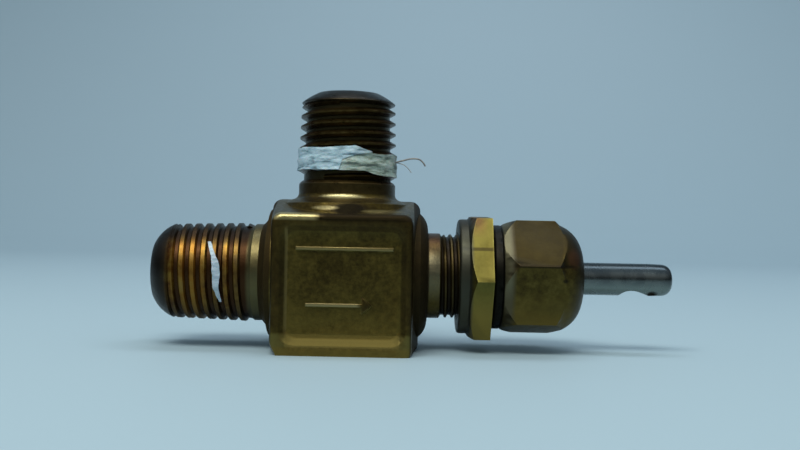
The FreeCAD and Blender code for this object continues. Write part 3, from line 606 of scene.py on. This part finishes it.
def wrap(name, lower_edge, upper_edge, first, last, lift, replaces=None):
    """One layer of tape from angle first to last, in degrees from the front to the right."""
    bm = bmesh.new()
    bmesh.ops.create_grid(bm, x_segments=round((last - first) / DEGREES_PER_COLUMN),
                          y_segments=TAPE_ROWS, size=1)
    for vert in bm.verts:
        angle = math.radians(first + (last - first) * (vert.co.x + 1) / 2)
        around = Vector((math.sin(angle), -math.cos(angle), 0))
        side = around.x * TAPE_RADIUS
        torn = noise.noise(around * 4 + Vector((lift * 9, 0, 0))) * 0.12 + noise.noise(around * 13) * 0.06
        low, high = lower_edge(side) + torn * 0.5, upper_edge(side) + torn
        height = low + (high - low) * (vert.co.y + 1) / 2
        ripple = math.cos((height - 13.2 + side * 0.05) / PIPE_PITCH * FULL_TURN) * 0.05
        folds = noise.fractal(Vector((around.x * 5, around.y * 5, height * 3.5 + lift * 7)), 0.9, 2.1, 3)
        radius = crest(height) + lift + ripple + max(-0.08, folds * 0.06)
        vert.co = around * radius + Vector((0, 0, height))
    bmesh.ops.remove_doubles(bm, verts=bm.verts, dist=0.004)
    bmesh.ops.recalc_face_normals(bm, faces=bm.faces)
    bmesh.ops.solidify(bm, geom=bm.faces[:], thickness=FILM)
    return finish_piece(bm, name, "valve", replaces)


under_layer = wrap("tape_under_layer",
                   along_points([(-7, 13.6), (2.6, 13.5), (3.6, 13.15), (4.9, 12.92), (7, 13.0)]),
                   along_points([(-7, 16.3), (0, 16.1), (3.2, 15.85), (4.2, 15.7), (7, 15.95)]),
                   first=0, last=360, lift=0.07, replaces="thread_tape")
top_layer = wrap("tape_top_layer",
                 along_points([(-7, 13.7), (-0.7, 13.6), (-0.4, 14.9), (0.8, 15.35), (3.4, 15.9)]),
                 along_points([(-7, 16.62), (-3, 16.45), (1.2, 16.67), (2.4, 16.3), (3.4, 16.0)]),
                 first=-160, last=31, lift=0.17)

# %% [markdown]
# A shred of the same tape lies across the inlet's threads. It is a narrow grid that follows a
# wandering middle line, wider and narrower in turn, laid on the crests.

# %% Shred
SHRED_MIDDLE, SHRED_REACH = 0.18, 3.87
middle_line = along_points([(-3.9, -15.65), (-3.2, -15.8), (-1.9, -16.2), (0.0, -16.14), (1.57, -16.33),
                            (4.1, -17.35)])
half_width = along_points([(-3.9, 0.08), (-3.2, 0.2), (-2.2, 0.34), (0.0, 0.5), (1.2, 0.48), (2.2, 0.32),
                           (4.1, 0.2)])

shred = bmesh.new()
bmesh.ops.create_grid(shred, x_segments=8, y_segments=70, size=1)
for vert in shred.verts:
    across, z = vert.co.x, SHRED_MIDDLE + vert.co.y * SHRED_REACH
    ragged = 1 + 0.25 * noise.noise(Vector((z * 1.5, across, 5)))
    x = middle_line(z) + across * half_width(z) * ragged
    radius = crest(-x) + 0.06 + noise.noise(Vector((x * 2, z * 1.5, 2))) * 0.04
    vert.co = Vector((x, -math.sqrt(max(0.01, radius * radius - z * z)), z))
bmesh.ops.recalc_face_normals(shred, faces=shred.faces)
bmesh.ops.solidify(shred, geom=shred.faces[:], thickness=0.06)
shred_piece = finish_piece(shred, "shred_of_tape", "valve", "tape_shred")

# %% [markdown]
# Two stray fibres of the tape stand out on the right. Each is a soft curve with a round
# section, turned into a mesh so that it can be placed like the other pieces.

# %% Loose fibres
def fibre(name, points, thickness):
    curve = bpy.data.curves.new(name, "CURVE")
    curve.dimensions = "3D"
    curve.bevel_depth = thickness / 2
    curve.bevel_resolution = 2
    curve.use_fill_caps = True
    spline = curve.splines.new("NURBS")
    spline.points.add(len(points) - 1)
    for point, place in zip(spline.points, points):
        point.co = (*place, 1)
    spline.order_u = 3
    spline.use_endpoint_u = True
    strand = bpy.data.objects.new(name, curve)
    bpy.context.scene.collection.objects.link(strand)
    mesh = bpy.data.meshes.new_from_object(strand.evaluated_get(bpy.context.evaluated_depsgraph_get()))
    bpy.data.objects.remove(strand)
    bm = bmesh.new()
    bm.from_mesh(mesh)
    return finish_piece(bm, name, "valve")


long_fibre = fibre("long_fibre", [(6.3, -1.5, 14.9), (7.3, -1.7, 15.15), (8.5, -1.6, 15.5),
                                  (9.6, -1.4, 15.45), (10.2, -1.3, 14.85), (10.35, -1.3, 14.5)], 0.22)
short_fibre = fibre("short_fibre", [(6.4, -1.2, 14.9), (7.2, -1.6, 14.8), (8.0, -1.9, 14.3),
                                    (8.5, -2.0, 13.6)], 0.1)

# %% [markdown]
# Colours are written as on a paint card, in hex, and turned to the linear light that shaders
# reckon in. One helper adds a shader node with its settings and links, and hands back its output.
# Every material starts from the same place: a point's position on the valve in millimetres, so
# that a pattern's size can be given as a real size.

# %% Colours and nodes
def paint(hexes):
    """An sRGB colour such as 7f6f33 as linear red, green, blue and alpha."""
    channels = [int(hexes[i:i + 2], 16) / 255 for i in (0, 2, 4)]
    return [c / 12.92 if c <= 0.04045 else ((c + 0.055) / 1.055) ** 2.4 for c in channels] + [1.0]


def add(tree, kind, inputs=None, stops=(), output=None, **settings):
    """Add a node, set its properties and its (position, hex colour) stops, and set or link inputs.

    Returns the named output, or else the first one that the node's settings leave in use."""
    node = tree.nodes.new(kind)
    for name, value in settings.items():
        setattr(node, name, value)
    for name, value in (inputs or {}).items():
        if isinstance(value, bpy.types.NodeSocket):
            tree.links.new(value, node.inputs[name])
        else:
            node.inputs[name].default_value = value
    for _ in stops[2:]:
        node.color_ramp.elements.new(0.5)
    for number, (position, colour) in enumerate(stops):
        node.color_ramp.elements[number].position = position
        node.color_ramp.elements[number].color = paint(colour)
    if output:
        return node.outputs[output]
    return next((socket for socket in node.outputs if socket.enabled), None)


def new_material(name):
    material = bpy.data.materials.new(name)
    material.use_nodes = True
    tree = material.node_tree
    tree.nodes.clear()
    place = add(tree, "ShaderNodeTexCoord", output="Object")
    where = add(tree, "ShaderNodeVectorMath", {0: place, 1: (1 / MILLIMETRE,) * 3}, operation="MULTIPLY")
    print("material", name)
    return material, tree, where


print("a mid grey of 808080 is", round(paint("808080")[0], 3), "in linear light")

# %% [markdown]
# Old metal is never one colour. Two patterns do most of the work: blotches of noise, whose size is
# given in millimetres, and a mask of the sharp edges, where hands and tools rub the brass bright.

# %% Blotches and rubbed edges
def speckle(tree, where, grain, detail=6.0, roughness=0.6):
    """Noise whose blotches are about grain millimetres across, spread over 0 to 1."""
    cloud = add(tree, "ShaderNodeTexNoise", {"Vector": where, "Scale": 1 / grain, "Detail": detail,
                                             "Roughness": roughness}, output="Fac")
    return add(tree, "ShaderNodeMapRange", {"Value": cloud, "From Min": 0.34, "From Max": 0.66})


def worn_edges(tree, width, strength=3.0):
    """1 on sharp edges and 0 on flats. width is in millimetres."""
    softened = add(tree, "ShaderNodeBevel", {"Radius": width * MILLIMETRE}, samples=6)
    true_normal = add(tree, "ShaderNodeNewGeometry", output="Normal")
    likeness = add(tree, "ShaderNodeVectorMath", {0: softened, 1: true_normal}, operation="DOT_PRODUCT")
    edge = add(tree, "ShaderNodeMath", {0: 1.0, 1: likeness}, operation="SUBTRACT")
    return add(tree, "ShaderNodeMath", {0: edge, 1: strength}, operation="MULTIPLY", use_clamp=True)


# %% [markdown]
# Dirt and wear lie in places, and so do painted light and shade: in corners, on one side, along a
# line. A mask is 1 where they are and 0 elsewhere: a box with soft sides, or a soft ellipse, in
# millimetres from the middle of the base. A covering is a mask, a colour and the share of it that
# covers, and coverings are laid on in turn, like coats of paint.

# %% Masks and coverings
def overlap(tree, product, *others):
    """Masks and shares multiplied."""
    for other in others:
        product = add(tree, "ShaderNodeMath", {0: product, 1: other}, operation="MULTIPLY")
    return product


def slopes(tree, where, limits):
    """For each axis, 0 to 1 between two limits, and with four limits back to 0 between the others."""
    masks = []
    for axis, ends in limits.items():
        coordinate = add(tree, "ShaderNodeSeparateXYZ", {"Vector": where}, output=axis)
        rising, falling = ends[:2], ends[:1:-1]
        for start, end in [rising, falling] if falling else [rising]:
            masks.append(add(tree, "ShaderNodeMapRange", {"Value": coordinate, "From Min": start,
                                                          "From Max": end}))
    return masks


def in_box(**limits):
    """Makes a mask from the limits for X, Y and Z."""
    return lambda tree, where: overlap(tree, *slopes(tree, where, limits))


def at_spot(centre, radii, **limits):
    """Makes a mask of an ellipse inside the limits. A radius of None means any distance."""
    def mask(tree, where):
        reach = [0.0 if radius is None else 1 / radius for radius in radii]
        shifted = add(tree, "ShaderNodeVectorMath", {0: where, 1: centre}, operation="SUBTRACT")
        scaled = add(tree, "ShaderNodeVectorMath", {0: shifted, 1: reach}, operation="MULTIPLY")
        distance = add(tree, "ShaderNodeVectorMath", {0: scaled}, operation="LENGTH")
        ellipse = add(tree, "ShaderNodeMapRange", {"Value": distance, "From Min": 1.0, "From Max": 0.5})
        return overlap(tree, ellipse, *slopes(tree, where, limits))
    return mask


def cover(tree, where, colour, coverings):
    """Lay (mask maker, hex colour, share) coverings over a colour, in turn."""
    for mask, covering, share in coverings:
        hidden = overlap(tree, mask(tree, where), share)
        colour = add(tree, "ShaderNodeMix", {0: hidden, 6: colour, 7: paint(covering)}, data_type="RGBA")
    return colour


# %% [markdown]
# Each material ends alike: its relief is turned into bumps, coarse ones first and fine ones over
# them, and colour, metal and roughness meet in one shader. A bump's depth is a real depth.

# %% Surface
def surface(tree, colour, metallic, roughness, relief, **others):
    """Finish a material. relief lists (height from 0 to 1, depth in millimetres)."""
    inputs = {"Base Color": colour, "Metallic": metallic, "Roughness": roughness, **others}
    for height, depth in relief:
        below = {"Normal": inputs["Normal"]} if "Normal" in inputs else {}
        inputs["Normal"] = add(tree, "ShaderNodeBump", {"Height": height, "Distance": depth * MILLIMETRE,
                                                        **below})
    shader = add(tree, "ShaderNodeBsdfPrincipled", inputs)
    add(tree, "ShaderNodeOutputMaterial", {"Surface": shader})


# %% [markdown]
# Brass that has been handled and has dulled for years has an olive-brown oxide, mottled on a scale
# of 0.7 mm inside larger stains. Its edges are rubbed lighter, dirt has settled in places, light
# and shade are painted in places, and the surface has the faint pebble of forging scale, or less of
# it on bar stock. The metal still shines under its oxide, so it stays metallic, but matt dirt
# scatters the light.

# %% Oxidised brass
def oxidised_brass(name, tones, edge, rough=(0.3, 0.46), pebble=0.014, grain=4.5, under=(), over=(), dull=()):
    """under and over are coverings below and above the rubbed edges. dull lists masks of matt dirt."""
    material, tree, where = new_material(name)
    stains = speckle(tree, where, grain, 5)
    mottle = speckle(tree, where, 0.7, 6, 0.7)
    both = add(tree, "ShaderNodeMath", {0: stains, 1: mottle}, operation="ADD")
    colour = add(tree, "ShaderNodeValToRGB", {"Fac": overlap(tree, both, 0.5)}, stops=tones)
    patchy = overlap(tree, worn_edges(tree, 0.35), speckle(tree, where, 0.9, 4))
    colour = add(tree, "ShaderNodeMix", {0: patchy, 6: cover(tree, where, colour, under), 7: paint(edge)},
                 data_type="RGBA")
    shine = add(tree, "ShaderNodeMapRange", {"Value": mottle, "To Min": rough[0], "To Max": rough[1]})
    for mask in dull:
        matt = overlap(tree, mask(tree, where), 0.7)
        shine = add(tree, "ShaderNodeMath", {0: shine, 1: matt}, operation="MAXIMUM")
    surface(tree, cover(tree, where, colour, over), 0.9, shine,
            [(speckle(tree, where, 0.45, 4), pebble), (mottle, pebble * 0.4)])
    return material


# %% [markdown]
# On the forging the base and the lower ledge are painted lightest, as light coming back from the
# table, with a painted highlight along the ledge, and the recess floor is lighter towards the bottom.
# The marks are lighter where hands rub, and the upper left edge and the neck carry painted
# highlights. The recess is darker at its top, and both bosses beside the block are darker. Before
# the outlet lies a painted dark reflection, with painted highlights on the boss either side and on
# the flare above it, and painted shade lies along the top edge, except at its left end, and on the
# right edge of the rim.

# %% Forged brass
MARK_FACES = (-9.08, -9.2, -9.4, -9.5)
LEDGE = (0.9, 1.2, 2.5, 2.9)
RIGHT_BOSS = in_box(X=(8.85, 9.0, 10.95, 11.1), Y=(-9.4, -9.0))
LEFT_BOSS = in_box(X=(-9.0, -9.2, -10.95, -11.1), Y=(-9.4, -9.0))

forged_brass = oxidised_brass(
    "forged_oxidised_brass", [(0.1, "352b0f"), (0.45, "463b17"), (0.85, "594c20")], "8a7c44",
    under=[
        (in_box(Y=(-9.06, -9.2), Z=(2.5, 4.5)), "2d210e", 0.52),
        # Painted light from the table on the base band.
        (in_box(Y=(-9.25, -9.45), Z=(3.0, 1.0)), "7c6b34", 0.7),
        (in_box(Y=(-9.3, -9.1), Z=(7.0, 2.5)), "6d5e2a", 0.75),
        # A painted highlight along the lower ledge.
        (in_box(Y=(-8.9, -9.1), Z=LEDGE), "685f32", 0.88),
        (in_box(X=(-6.5, -6.4, 6.4, 6.5), Y=MARK_FACES, Z=(13.0, 13.1, 13.7, 13.8)), "81744a", 0.95),
        (in_box(X=(-6.5, -6.4, 1.9, 2.5), Y=MARK_FACES, Z=(5.0, 5.2, 7.8, 8.0)), "8a7f58", 0.95),
        (in_box(X=(-6.7, -6.85, -7.05, -7.2), Y=(-8.9, -8.98), Z=(2.4, 3.2, 15.6, 16.2)), "7a6a40", 0.5),
        # A painted highlight along the neck, under its reddish-brown top.
        (in_box(X=(10.8, 11.0), Z=(6.5, 10.5, 12.0, 14.0)), "746f58", 0.72),
        (in_box(X=(10.8, 11.0), Z=(12.4, 14.5)), "44291b", 0.7),
    ],
    over=[
        # A painted dark reflection before the outlet, then painted highlights on the boss and the flare.
        (at_spot((0.7, 0, 18.4), (3.6, None, 1.2)), "17130a", 0.93),
        (at_spot((-2.3, 0, 18.5), (2.0, None, 0.32)), "8f8660", 0.8),
        (at_spot((5.0, 0, 18.15), (3.0, None, 0.3)), "80764e", 0.8),
        (at_spot((-0.3, 0, 20.0), (3.2, None, 0.4)), "a09a72", 0.85),
        (at_spot((9.8, 0, 18.7), (0.9, None, 1.3)), "0c0a07", 0.9),
        # Painted shade along the top edge, except at its left end.
        (in_box(X=(-3.6, -2.6), Y=(-8.7, -8.9), Z=(16.7, 17.0)), "231c0c", 0.9),
        (RIGHT_BOSS, "1f180c", 0.85),
        (LEFT_BOSS, "2a2110", 0.8),
        # A painted highlight along the upper left edge.
        (in_box(X=(-8.7, -8.4, -3.6, -2.8), Y=(-8.3, -8.6), Z=(16.8, 17.1, 17.8, 18.0)), "a39a6c", 0.85),
        # Painted shade on the right edge of the rim.
        (in_box(X=(8.55, 8.75, 9.9, 10.0), Y=(-9.0, -9.3)), "2b2110", 0.6),
        (in_box(X=(-8.6, -8.8), Y=(-9.0, -9.3), Z=(17.2, 17.0)), "2b2110", 0.5),
    ],
    dull=[at_spot((0.9, 0, 18.2), (3.0, None, 1.5), Y=(-5.0, -7.0)),
          in_box(X=(-3.4, -2.0), Y=(-8.6, -8.8), Z=(16.9, 17.2)), RIGHT_BOSS, LEFT_BOSS,
          in_box(X=(-7.2, -6.8, 7.2, 7.6), Z=LEDGE)])

# %% [markdown]
# The threads are cut brass that has been sealed, wetted and dried: orange-brown between the
# crests, with black grime in the roots, and a dark end where the fitting was handled. The inlet's
# lower side is painted darker as shade. The thread height attribute tells root from crest.

# %% Threaded brass
def threaded_brass(name, tones, root, crest_colour, under=(), over=(), rough=(0.26, 0.42)):
    material, tree, where = new_material(name)
    height = add(tree, "ShaderNodeAttribute", output="Fac", attribute_name="thread_height")
    mottle = speckle(tree, where, 0.8, 5, 0.65)
    colour = add(tree, "ShaderNodeValToRGB", {"Fac": speckle(tree, where, 2.6, 4)}, stops=tones)
    clean = add(tree, "ShaderNodeMapRange", {"Value": height, "From Min": 0.05, "From Max": 0.5})
    colour = add(tree, "ShaderNodeMix", {0: clean, 6: paint(root), 7: cover(tree, where, colour, under)},
                 data_type="RGBA")
    crests = add(tree, "ShaderNodeMapRange", {"Value": height, "From Min": 0.9, "From Max": 1.0})
    colour = add(tree, "ShaderNodeMix", {0: overlap(tree, crests, mottle, 0.6), 6: colour,
                                         7: paint(crest_colour)}, data_type="RGBA")
    roughness = add(tree, "ShaderNodeMapRange", {"Value": mottle, "To Min": rough[0], "To Max": rough[1]})
    surface(tree, cover(tree, where, colour, over), 0.9, roughness, [(mottle, 0.01)])
    return material


inlet_brass = threaded_brass(
    "inlet_thread_brass", [(0.1, "44290f"), (0.4, "6b4816"), (0.7, "7f6426"), (0.95, "6d5a38")],
    "33200d", "766030", rough=(0.34, 0.46),
    # The lower side is painted darker as shade.
    under=[(in_box(Z=(9.0, 4.5)), "2d1a08", 0.82),
           (in_box(X=(-17.5, -17.1, -15.5, -15.0)), "2a1a0c", 0.65),
           (in_box(X=(-14.3, -13.9, -13.2, -12.8)), "2b2214", 0.6),
           (in_box(X=(-21.0, -20.2, -18.3, -17.7)), "8a5e1c", 0.5)],
    over=[(in_box(X=(-12.6, -12.1)), "524e34", 0.92),
          (in_box(X=(-12.1, -12.6), Z=(13.2, 14.6)), "1f150a", 0.88),
          (in_box(X=(-21.9, -23.0)), "1f1d19", 0.93)])
outlet_brass = threaded_brass(
    "outlet_thread_brass", [(0.2, "33260f"), (0.5, "42361a"), (0.8, "382b12")], "3f3721", "554c2a",
    under=[(in_box(X=(-3.5, -6.0)), "35150a", 0.7), (in_box(X=(3.5, 6.0)), "35150a", 0.7)],
    over=[(in_box(Z=(32.0, 32.6)), "10100d", 0.93), (in_box(Z=(22.2, 21.8)), "41361b", 0.85)])
bonnet_brass = threaded_brass(
    "bonnet_thread_brass", [(0.2, "2c2211"), (0.6, "393017")], "191309", "4a4124", rough=(0.4, 0.5))

# %% [markdown]
# The nuts are bar stock, cut bright and since tarnished. The panel nut has clean yellow-green
# flats, with a dark line across one, and a dark, bluish collar, and its lower side is painted lighter
# as light from the table. The packing nut is darker and flecked, with a black ring at its open end
# and a dark line along the corner that faces the front. Its top is painted darker as shade, its lower
# side lighter as light from the table, and a painted highlight lies on its chamfer.

# %% Nut finishes
FRONT = (0.0, -2.0)

panel_brass = oxidised_brass(
    "tarnished_bar_brass", [(0.15, "504a1d"), (0.5, "5c5626"), (0.85, "66602b")], "8c864a",
    rough=(0.42, 0.52), pebble=0.003,
    under=[(in_box(X=(18.6, 17.4), Z=(15.0, 17.2)), "5c3e2a", 0.7),
           (at_spot((17.5, 0, 13.66), (None, None, 0.28), Y=FRONT), "2e2812", 0.8)],
    # Painted light from the table on the lower side, then the collar's own dark colour.
    over=[(in_box(Z=(9.0, 5.0)), "8a7638", 0.7), (in_box(X=(16.75, 16.3)), "33352f", 0.93)])
packing_brass = oxidised_brass(
    "flecked_bar_brass", [(0.1, "31270e"), (0.5, "453b17"), (0.88, "564b22")], "6b5f2e",
    rough=(0.4, 0.5), pebble=0.004, grain=1.6,
    # Painted shade on the top and painted light from the table on the lower side.
    under=[(in_box(Z=(11.6, 11.9)), "261f06", 0.82),
           (in_box(Z=(8.5, 4.0)), "6c5a28", 0.75),
           (in_box(X=(29.2, 30.4)), "241d0e", 0.6),
           (at_spot((29.6, 0, 12.6), (1.2, None, 1.5), Y=FRONT), "5a3a26", 0.5)],
    over=[(in_box(X=(22.2, 21.6)), "4f4a3a", 0.78),
          # A painted highlight on the chamfer.
          (in_box(X=(21.9, 21.3), Z=(7.0, 9.5)), "6c6a52", 0.65),
          (in_box(X=(20.75, 20.6)), "0b0a06", 0.98),
          (at_spot((0, -7.3, 11.64), (None, 1.6, 0.3), X=(21.5, 22.3)), "1c150a", 0.8),
          (at_spot((28.3, 0, 9.8), (0.5, None, 0.3), Y=FRONT), "1c170c", 0.8)])

# %% [markdown]
# The stem is turned steel. The lathe leaves fine rings round it, finer than the picture shows,
# so they are drawn a little coarser, and the grey has darkened in patches. Its upper side is
# painted darker as shade and its lower side lighter as a painted reflection of the table, and old
# dirt fills the dimple.

# %% Turned steel
def turned_steel():
    material, tree, where = new_material("turned_steel")
    rings = add(tree, "ShaderNodeVectorMath", {0: where, 1: (9.0, 0.3, 0.3)}, operation="MULTIPLY")
    patches = speckle(tree, where, 2.2, 4)
    colour = add(tree, "ShaderNodeValToRGB", {"Fac": patches}, stops=[(0.2, "545a5a"), (0.8, "666c6a")])
    colour = cover(tree, where, colour, [
        # Painted shade on the upper side and a painted reflection of the table on the lower side.
        (in_box(Z=(10.2, 11.0)), "333f46", 0.85), (in_box(Z=(9.6, 8.8)), "747d78", 0.85),
        (at_spot((DIMPLE_AT, -1.1, 7.9), (0.95, 1.2, 0.6)), "1a1510", 1.0)])
    roughness = add(tree, "ShaderNodeMapRange", {"Value": patches, "To Min": 0.24, "To Max": 0.3})
    surface(tree, colour, 1.0, roughness, [(speckle(tree, rings, 1.0, 3), 0.003)])
    return material


steel = turned_steel()

# %% [markdown]
# Thread tape is thin white fluoropolymer film. Stretched over the threads it goes bluish and
# half clear, so the dark roots show as streaks, and it has picked up grey-green dirt on the right.

# %% Tape
def thread_tape_film(name, clean_tones, dirt_tones, soiled_from):
    material, tree, where = new_material(name)
    stretched = add(tree, "ShaderNodeVectorMath", {0: where, 1: (0.35, 0.35, 1.6)}, operation="MULTIPLY")
    streaks = speckle(tree, stretched, 0.8, 4)
    clean = add(tree, "ShaderNodeValToRGB", {"Fac": streaks}, stops=clean_tones)
    dirty = add(tree, "ShaderNodeValToRGB", {"Fac": streaks}, stops=dirt_tones)
    soiled = in_box(X=soiled_from)(tree, where)
    colour = add(tree, "ShaderNodeMix", {0: soiled, 6: clean, 7: dirty}, data_type="RGBA")
    surface(tree, colour, 0.0, 0.42, [(speckle(tree, where, 0.3, 3), 0.03)],
            **{"Subsurface Weight": 0.15, "Subsurface Scale": 0.5 * MILLIMETRE})
    return material


SHRED_TONES = [(0.2, "8ea2b0"), (0.8, "b5c5d0")]

top_film = thread_tape_film("clean_thread_tape", [(0.05, "58707c"), (0.35, "8fabb8"), (0.8, "b4cbd6")],
                            [(0.2, "6a7f86"), (0.8, "9db3b8")], soiled_from=(1.0, 3.4))
under_film = thread_tape_film("soiled_thread_tape", [(0.2, "6f8890"), (0.8, "9db4bb")],
                              [(0.15, "525f57"), (0.45, "86968a"), (0.85, "a6b6af")],
                              soiled_from=(-2.0, 0.5))
shred_film = thread_tape_film("shred_tape", SHRED_TONES, SHRED_TONES, soiled_from=(0, 1))

# %% [markdown]
# The inner pieces hardly show. They still get their own finishes: turned brass for the gland and
# its washer, waxy white fluoropolymer for the packing rings, and dull grey for the stray fibres.

# %% Inner pieces and fibres
def plain_finish(name, tones, metallic, roughness):
    material, tree, where = new_material(name)
    mottle = speckle(tree, where, 0.6, 4)
    colour = add(tree, "ShaderNodeValToRGB", {"Fac": mottle}, stops=tones)
    surface(tree, colour, metallic, roughness, [(mottle, 0.004)])
    return material


gland_brass = plain_finish("turned_gland_brass", [(0.2, "a08a48"), (0.8, "bda660")], 1.0, 0.3)
packing_white = plain_finish("fluoropolymer_packing", [(0.2, "d6d3c8"), (0.8, "ece9e0")], 0.0, 0.45)
fibre_grey = plain_finish("soiled_fibre", [(0.2, "6f7070"), (0.8, "8f8d86")], 0.0, 0.7)

# %% [markdown]
# A mesh's faces say by number which of its materials they wear. The forging's four materials are
# given in the order of its regions, and a piece of one material wears it all over.

# %% Give every piece its finish
FINISHES = [
    (valve_forging, [forged_brass, inlet_brass, outlet_brass, bonnet_brass]),
    (packing_nut, [packing_brass]),
    (panel_nut, [panel_brass]),
    (stem_piece, [steel]),
    (under_layer, [under_film]),
    (top_layer, [top_film]),
    (shred_piece, [shred_film]),
    (long_fibre, [fibre_grey]),
    (short_fibre, [fibre_grey]),
    (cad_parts["packing_gland"], [gland_brass]),
    (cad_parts["gland_washer"], [gland_brass]),
    (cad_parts["lower_packing_ring"], [packing_white]),
    (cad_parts["upper_packing_ring"], [packing_white]),
]
for piece, materials in FINISHES:
    slots = piece.data.materials
    while len(slots) < len(materials):
        slots.append(None)
    for number in range(len(slots)):
        slots[number] = materials[min(number, len(materials) - 1)]
print("finished", len(FINISHES), "pieces")

# %% [markdown]
# The stage is a pale table that sweeps up behind into a backdrop, so there is no line at its far
# edge. A sweep is one strip, pushed out of a bent line. Sizes here are in metres.

# %% Floor and backdrop
SWEEP_FRONT, SWEEP_BACK, SWEEP_ROUND, SWEEP_TOP, SWEEP_WIDTH = -0.5, 0.35, 0.25, 1.2, 2.0

bend = [(SWEEP_BACK + SWEEP_ROUND * math.sin(math.radians(a)),
         SWEEP_ROUND - SWEEP_ROUND * math.cos(math.radians(a))) for a in range(10, 91, 10)]
line = [(SWEEP_FRONT, 0.0), (SWEEP_BACK, 0.0), *bend, (SWEEP_BACK + SWEEP_ROUND, SWEEP_TOP)]
sweep = bmesh.new()
verts = [sweep.verts.new((-SWEEP_WIDTH / 2, y, z)) for y, z in line]
edges = [sweep.edges.new(pair) for pair in zip(verts, verts[1:])]
pushed = bmesh.ops.extrude_edge_only(sweep, edges=edges)
moved = [v for v in pushed["geom"] if isinstance(v, bmesh.types.BMVert)]
bmesh.ops.translate(sweep, verts=moved, vec=(SWEEP_WIDTH, 0, 0))
for face in sweep.faces:
    face.smooth = True
floor = as_object(sweep, "floor")
table_paint = bpy.data.materials.new("pale_table")
table_paint.use_nodes = True
table_paint.node_tree.nodes["Principled BSDF"].inputs["Base Color"].default_value = paint("94adb9")
table_paint.node_tree.nodes["Principled BSDF"].inputs["Roughness"].default_value = 0.6
floor.data.materials.append(table_paint)
print("floor and backdrop:", len(floor.data.polygons), "faces")

# %% [markdown]
# A window high in front and a little to the left lights the valve, and a second lamp over the
# backdrop lights only that. Both are large, so the shadows are soft, and set so that a colour
# renders about as it is written.

# %% Light
def soft_light(name, place, aim, size, watts, colour):
    lamp = bpy.data.lights.new(name, "AREA")
    lamp.shape = "RECTANGLE"
    lamp.size, lamp.size_y = size
    lamp.energy = watts
    lamp.color = paint(colour)[:3]
    holder = bpy.data.objects.new(name, lamp)
    holder.location = place
    holder.rotation_euler = (Vector(aim) - Vector(place)).to_track_quat("-Z", "Y").to_euler()
    bpy.context.scene.collection.objects.link(holder)
    print(name, "of", watts, "watts")


soft_light("window", (-0.06, -0.22, 0.36), (0.005, 0, 0.01), (0.28, 0.15), 1.5, "fffaf0")
soft_light("backdrop_light", (0.1, 0.1, 0.6), (0.1, 0.6, 0.2), (0.5, 0.3), 2.2, "f4f8ff")

# %% [markdown]
# The rest is a dim room: dark at eye level and paler towards the ceiling. Polished metal shows
# this as a dark stripe along its middle. Where the camera looks past the backdrop, it sees a plain
# blue-grey instead.

# %% Room
world = bpy.data.worlds.new("room")
bpy.context.scene.world = world
world.use_nodes = True
room = world.node_tree
direction = add(room, "ShaderNodeTexCoord", output="Generated")
upward = add(room, "ShaderNodeSeparateXYZ", {"Vector": direction}, output="Z")
walls = add(room, "ShaderNodeValToRGB", {"Fac": upward},
            stops=[(0.02, "1e2124"), (0.22, "4a5054"), (0.5, "b4bbbf"), (0.9, "dfe4e7")])
seen = add(room, "ShaderNodeLightPath", output="Is Camera Ray")
air = add(room, "ShaderNodeMix", {0: seen, 6: walls, 7: paint("93a8b3")}, data_type="RGBA")
room.links.new(air, room.nodes["Background"].inputs["Color"])
room.nodes["Background"].inputs["Strength"].default_value = 0.85
print("room with", len(room.nodes), "nodes")

# %% [markdown]
# The camera stands where the photograph was taken: 132 mm in front of the valve's middle plane,
# level, a little above the stem, and turned by about one degree about its own line of sight.

# %% Camera
ROLL = 0.0208
PICTURE_WIDTH, FOCAL_PIXELS, SENSOR = 800, 986.8, 36.0
STAND = (0.007163, -0.13206, 0.01652)

camera_data = bpy.data.cameras.new("camera")
camera_data.sensor_width = SENSOR
camera_data.lens = FOCAL_PIXELS / PICTURE_WIDTH * SENSOR
camera_data.clip_start = 0.01
camera = bpy.data.objects.new("camera", camera_data)
right = Vector((math.cos(ROLL), 0, math.sin(ROLL)))
up = Vector((-math.sin(ROLL), 0, math.cos(ROLL)))
facing = Matrix((right, up, (0, -1, 0))).transposed().to_4x4()
camera.matrix_world = Matrix.Translation(STAND) @ facing
bpy.context.scene.collection.objects.link(camera)
bpy.context.scene.camera = camera
bpy.context.scene.view_settings.view_transform = "Standard"
print("camera lens:", round(camera_data.lens, 1), "mm")
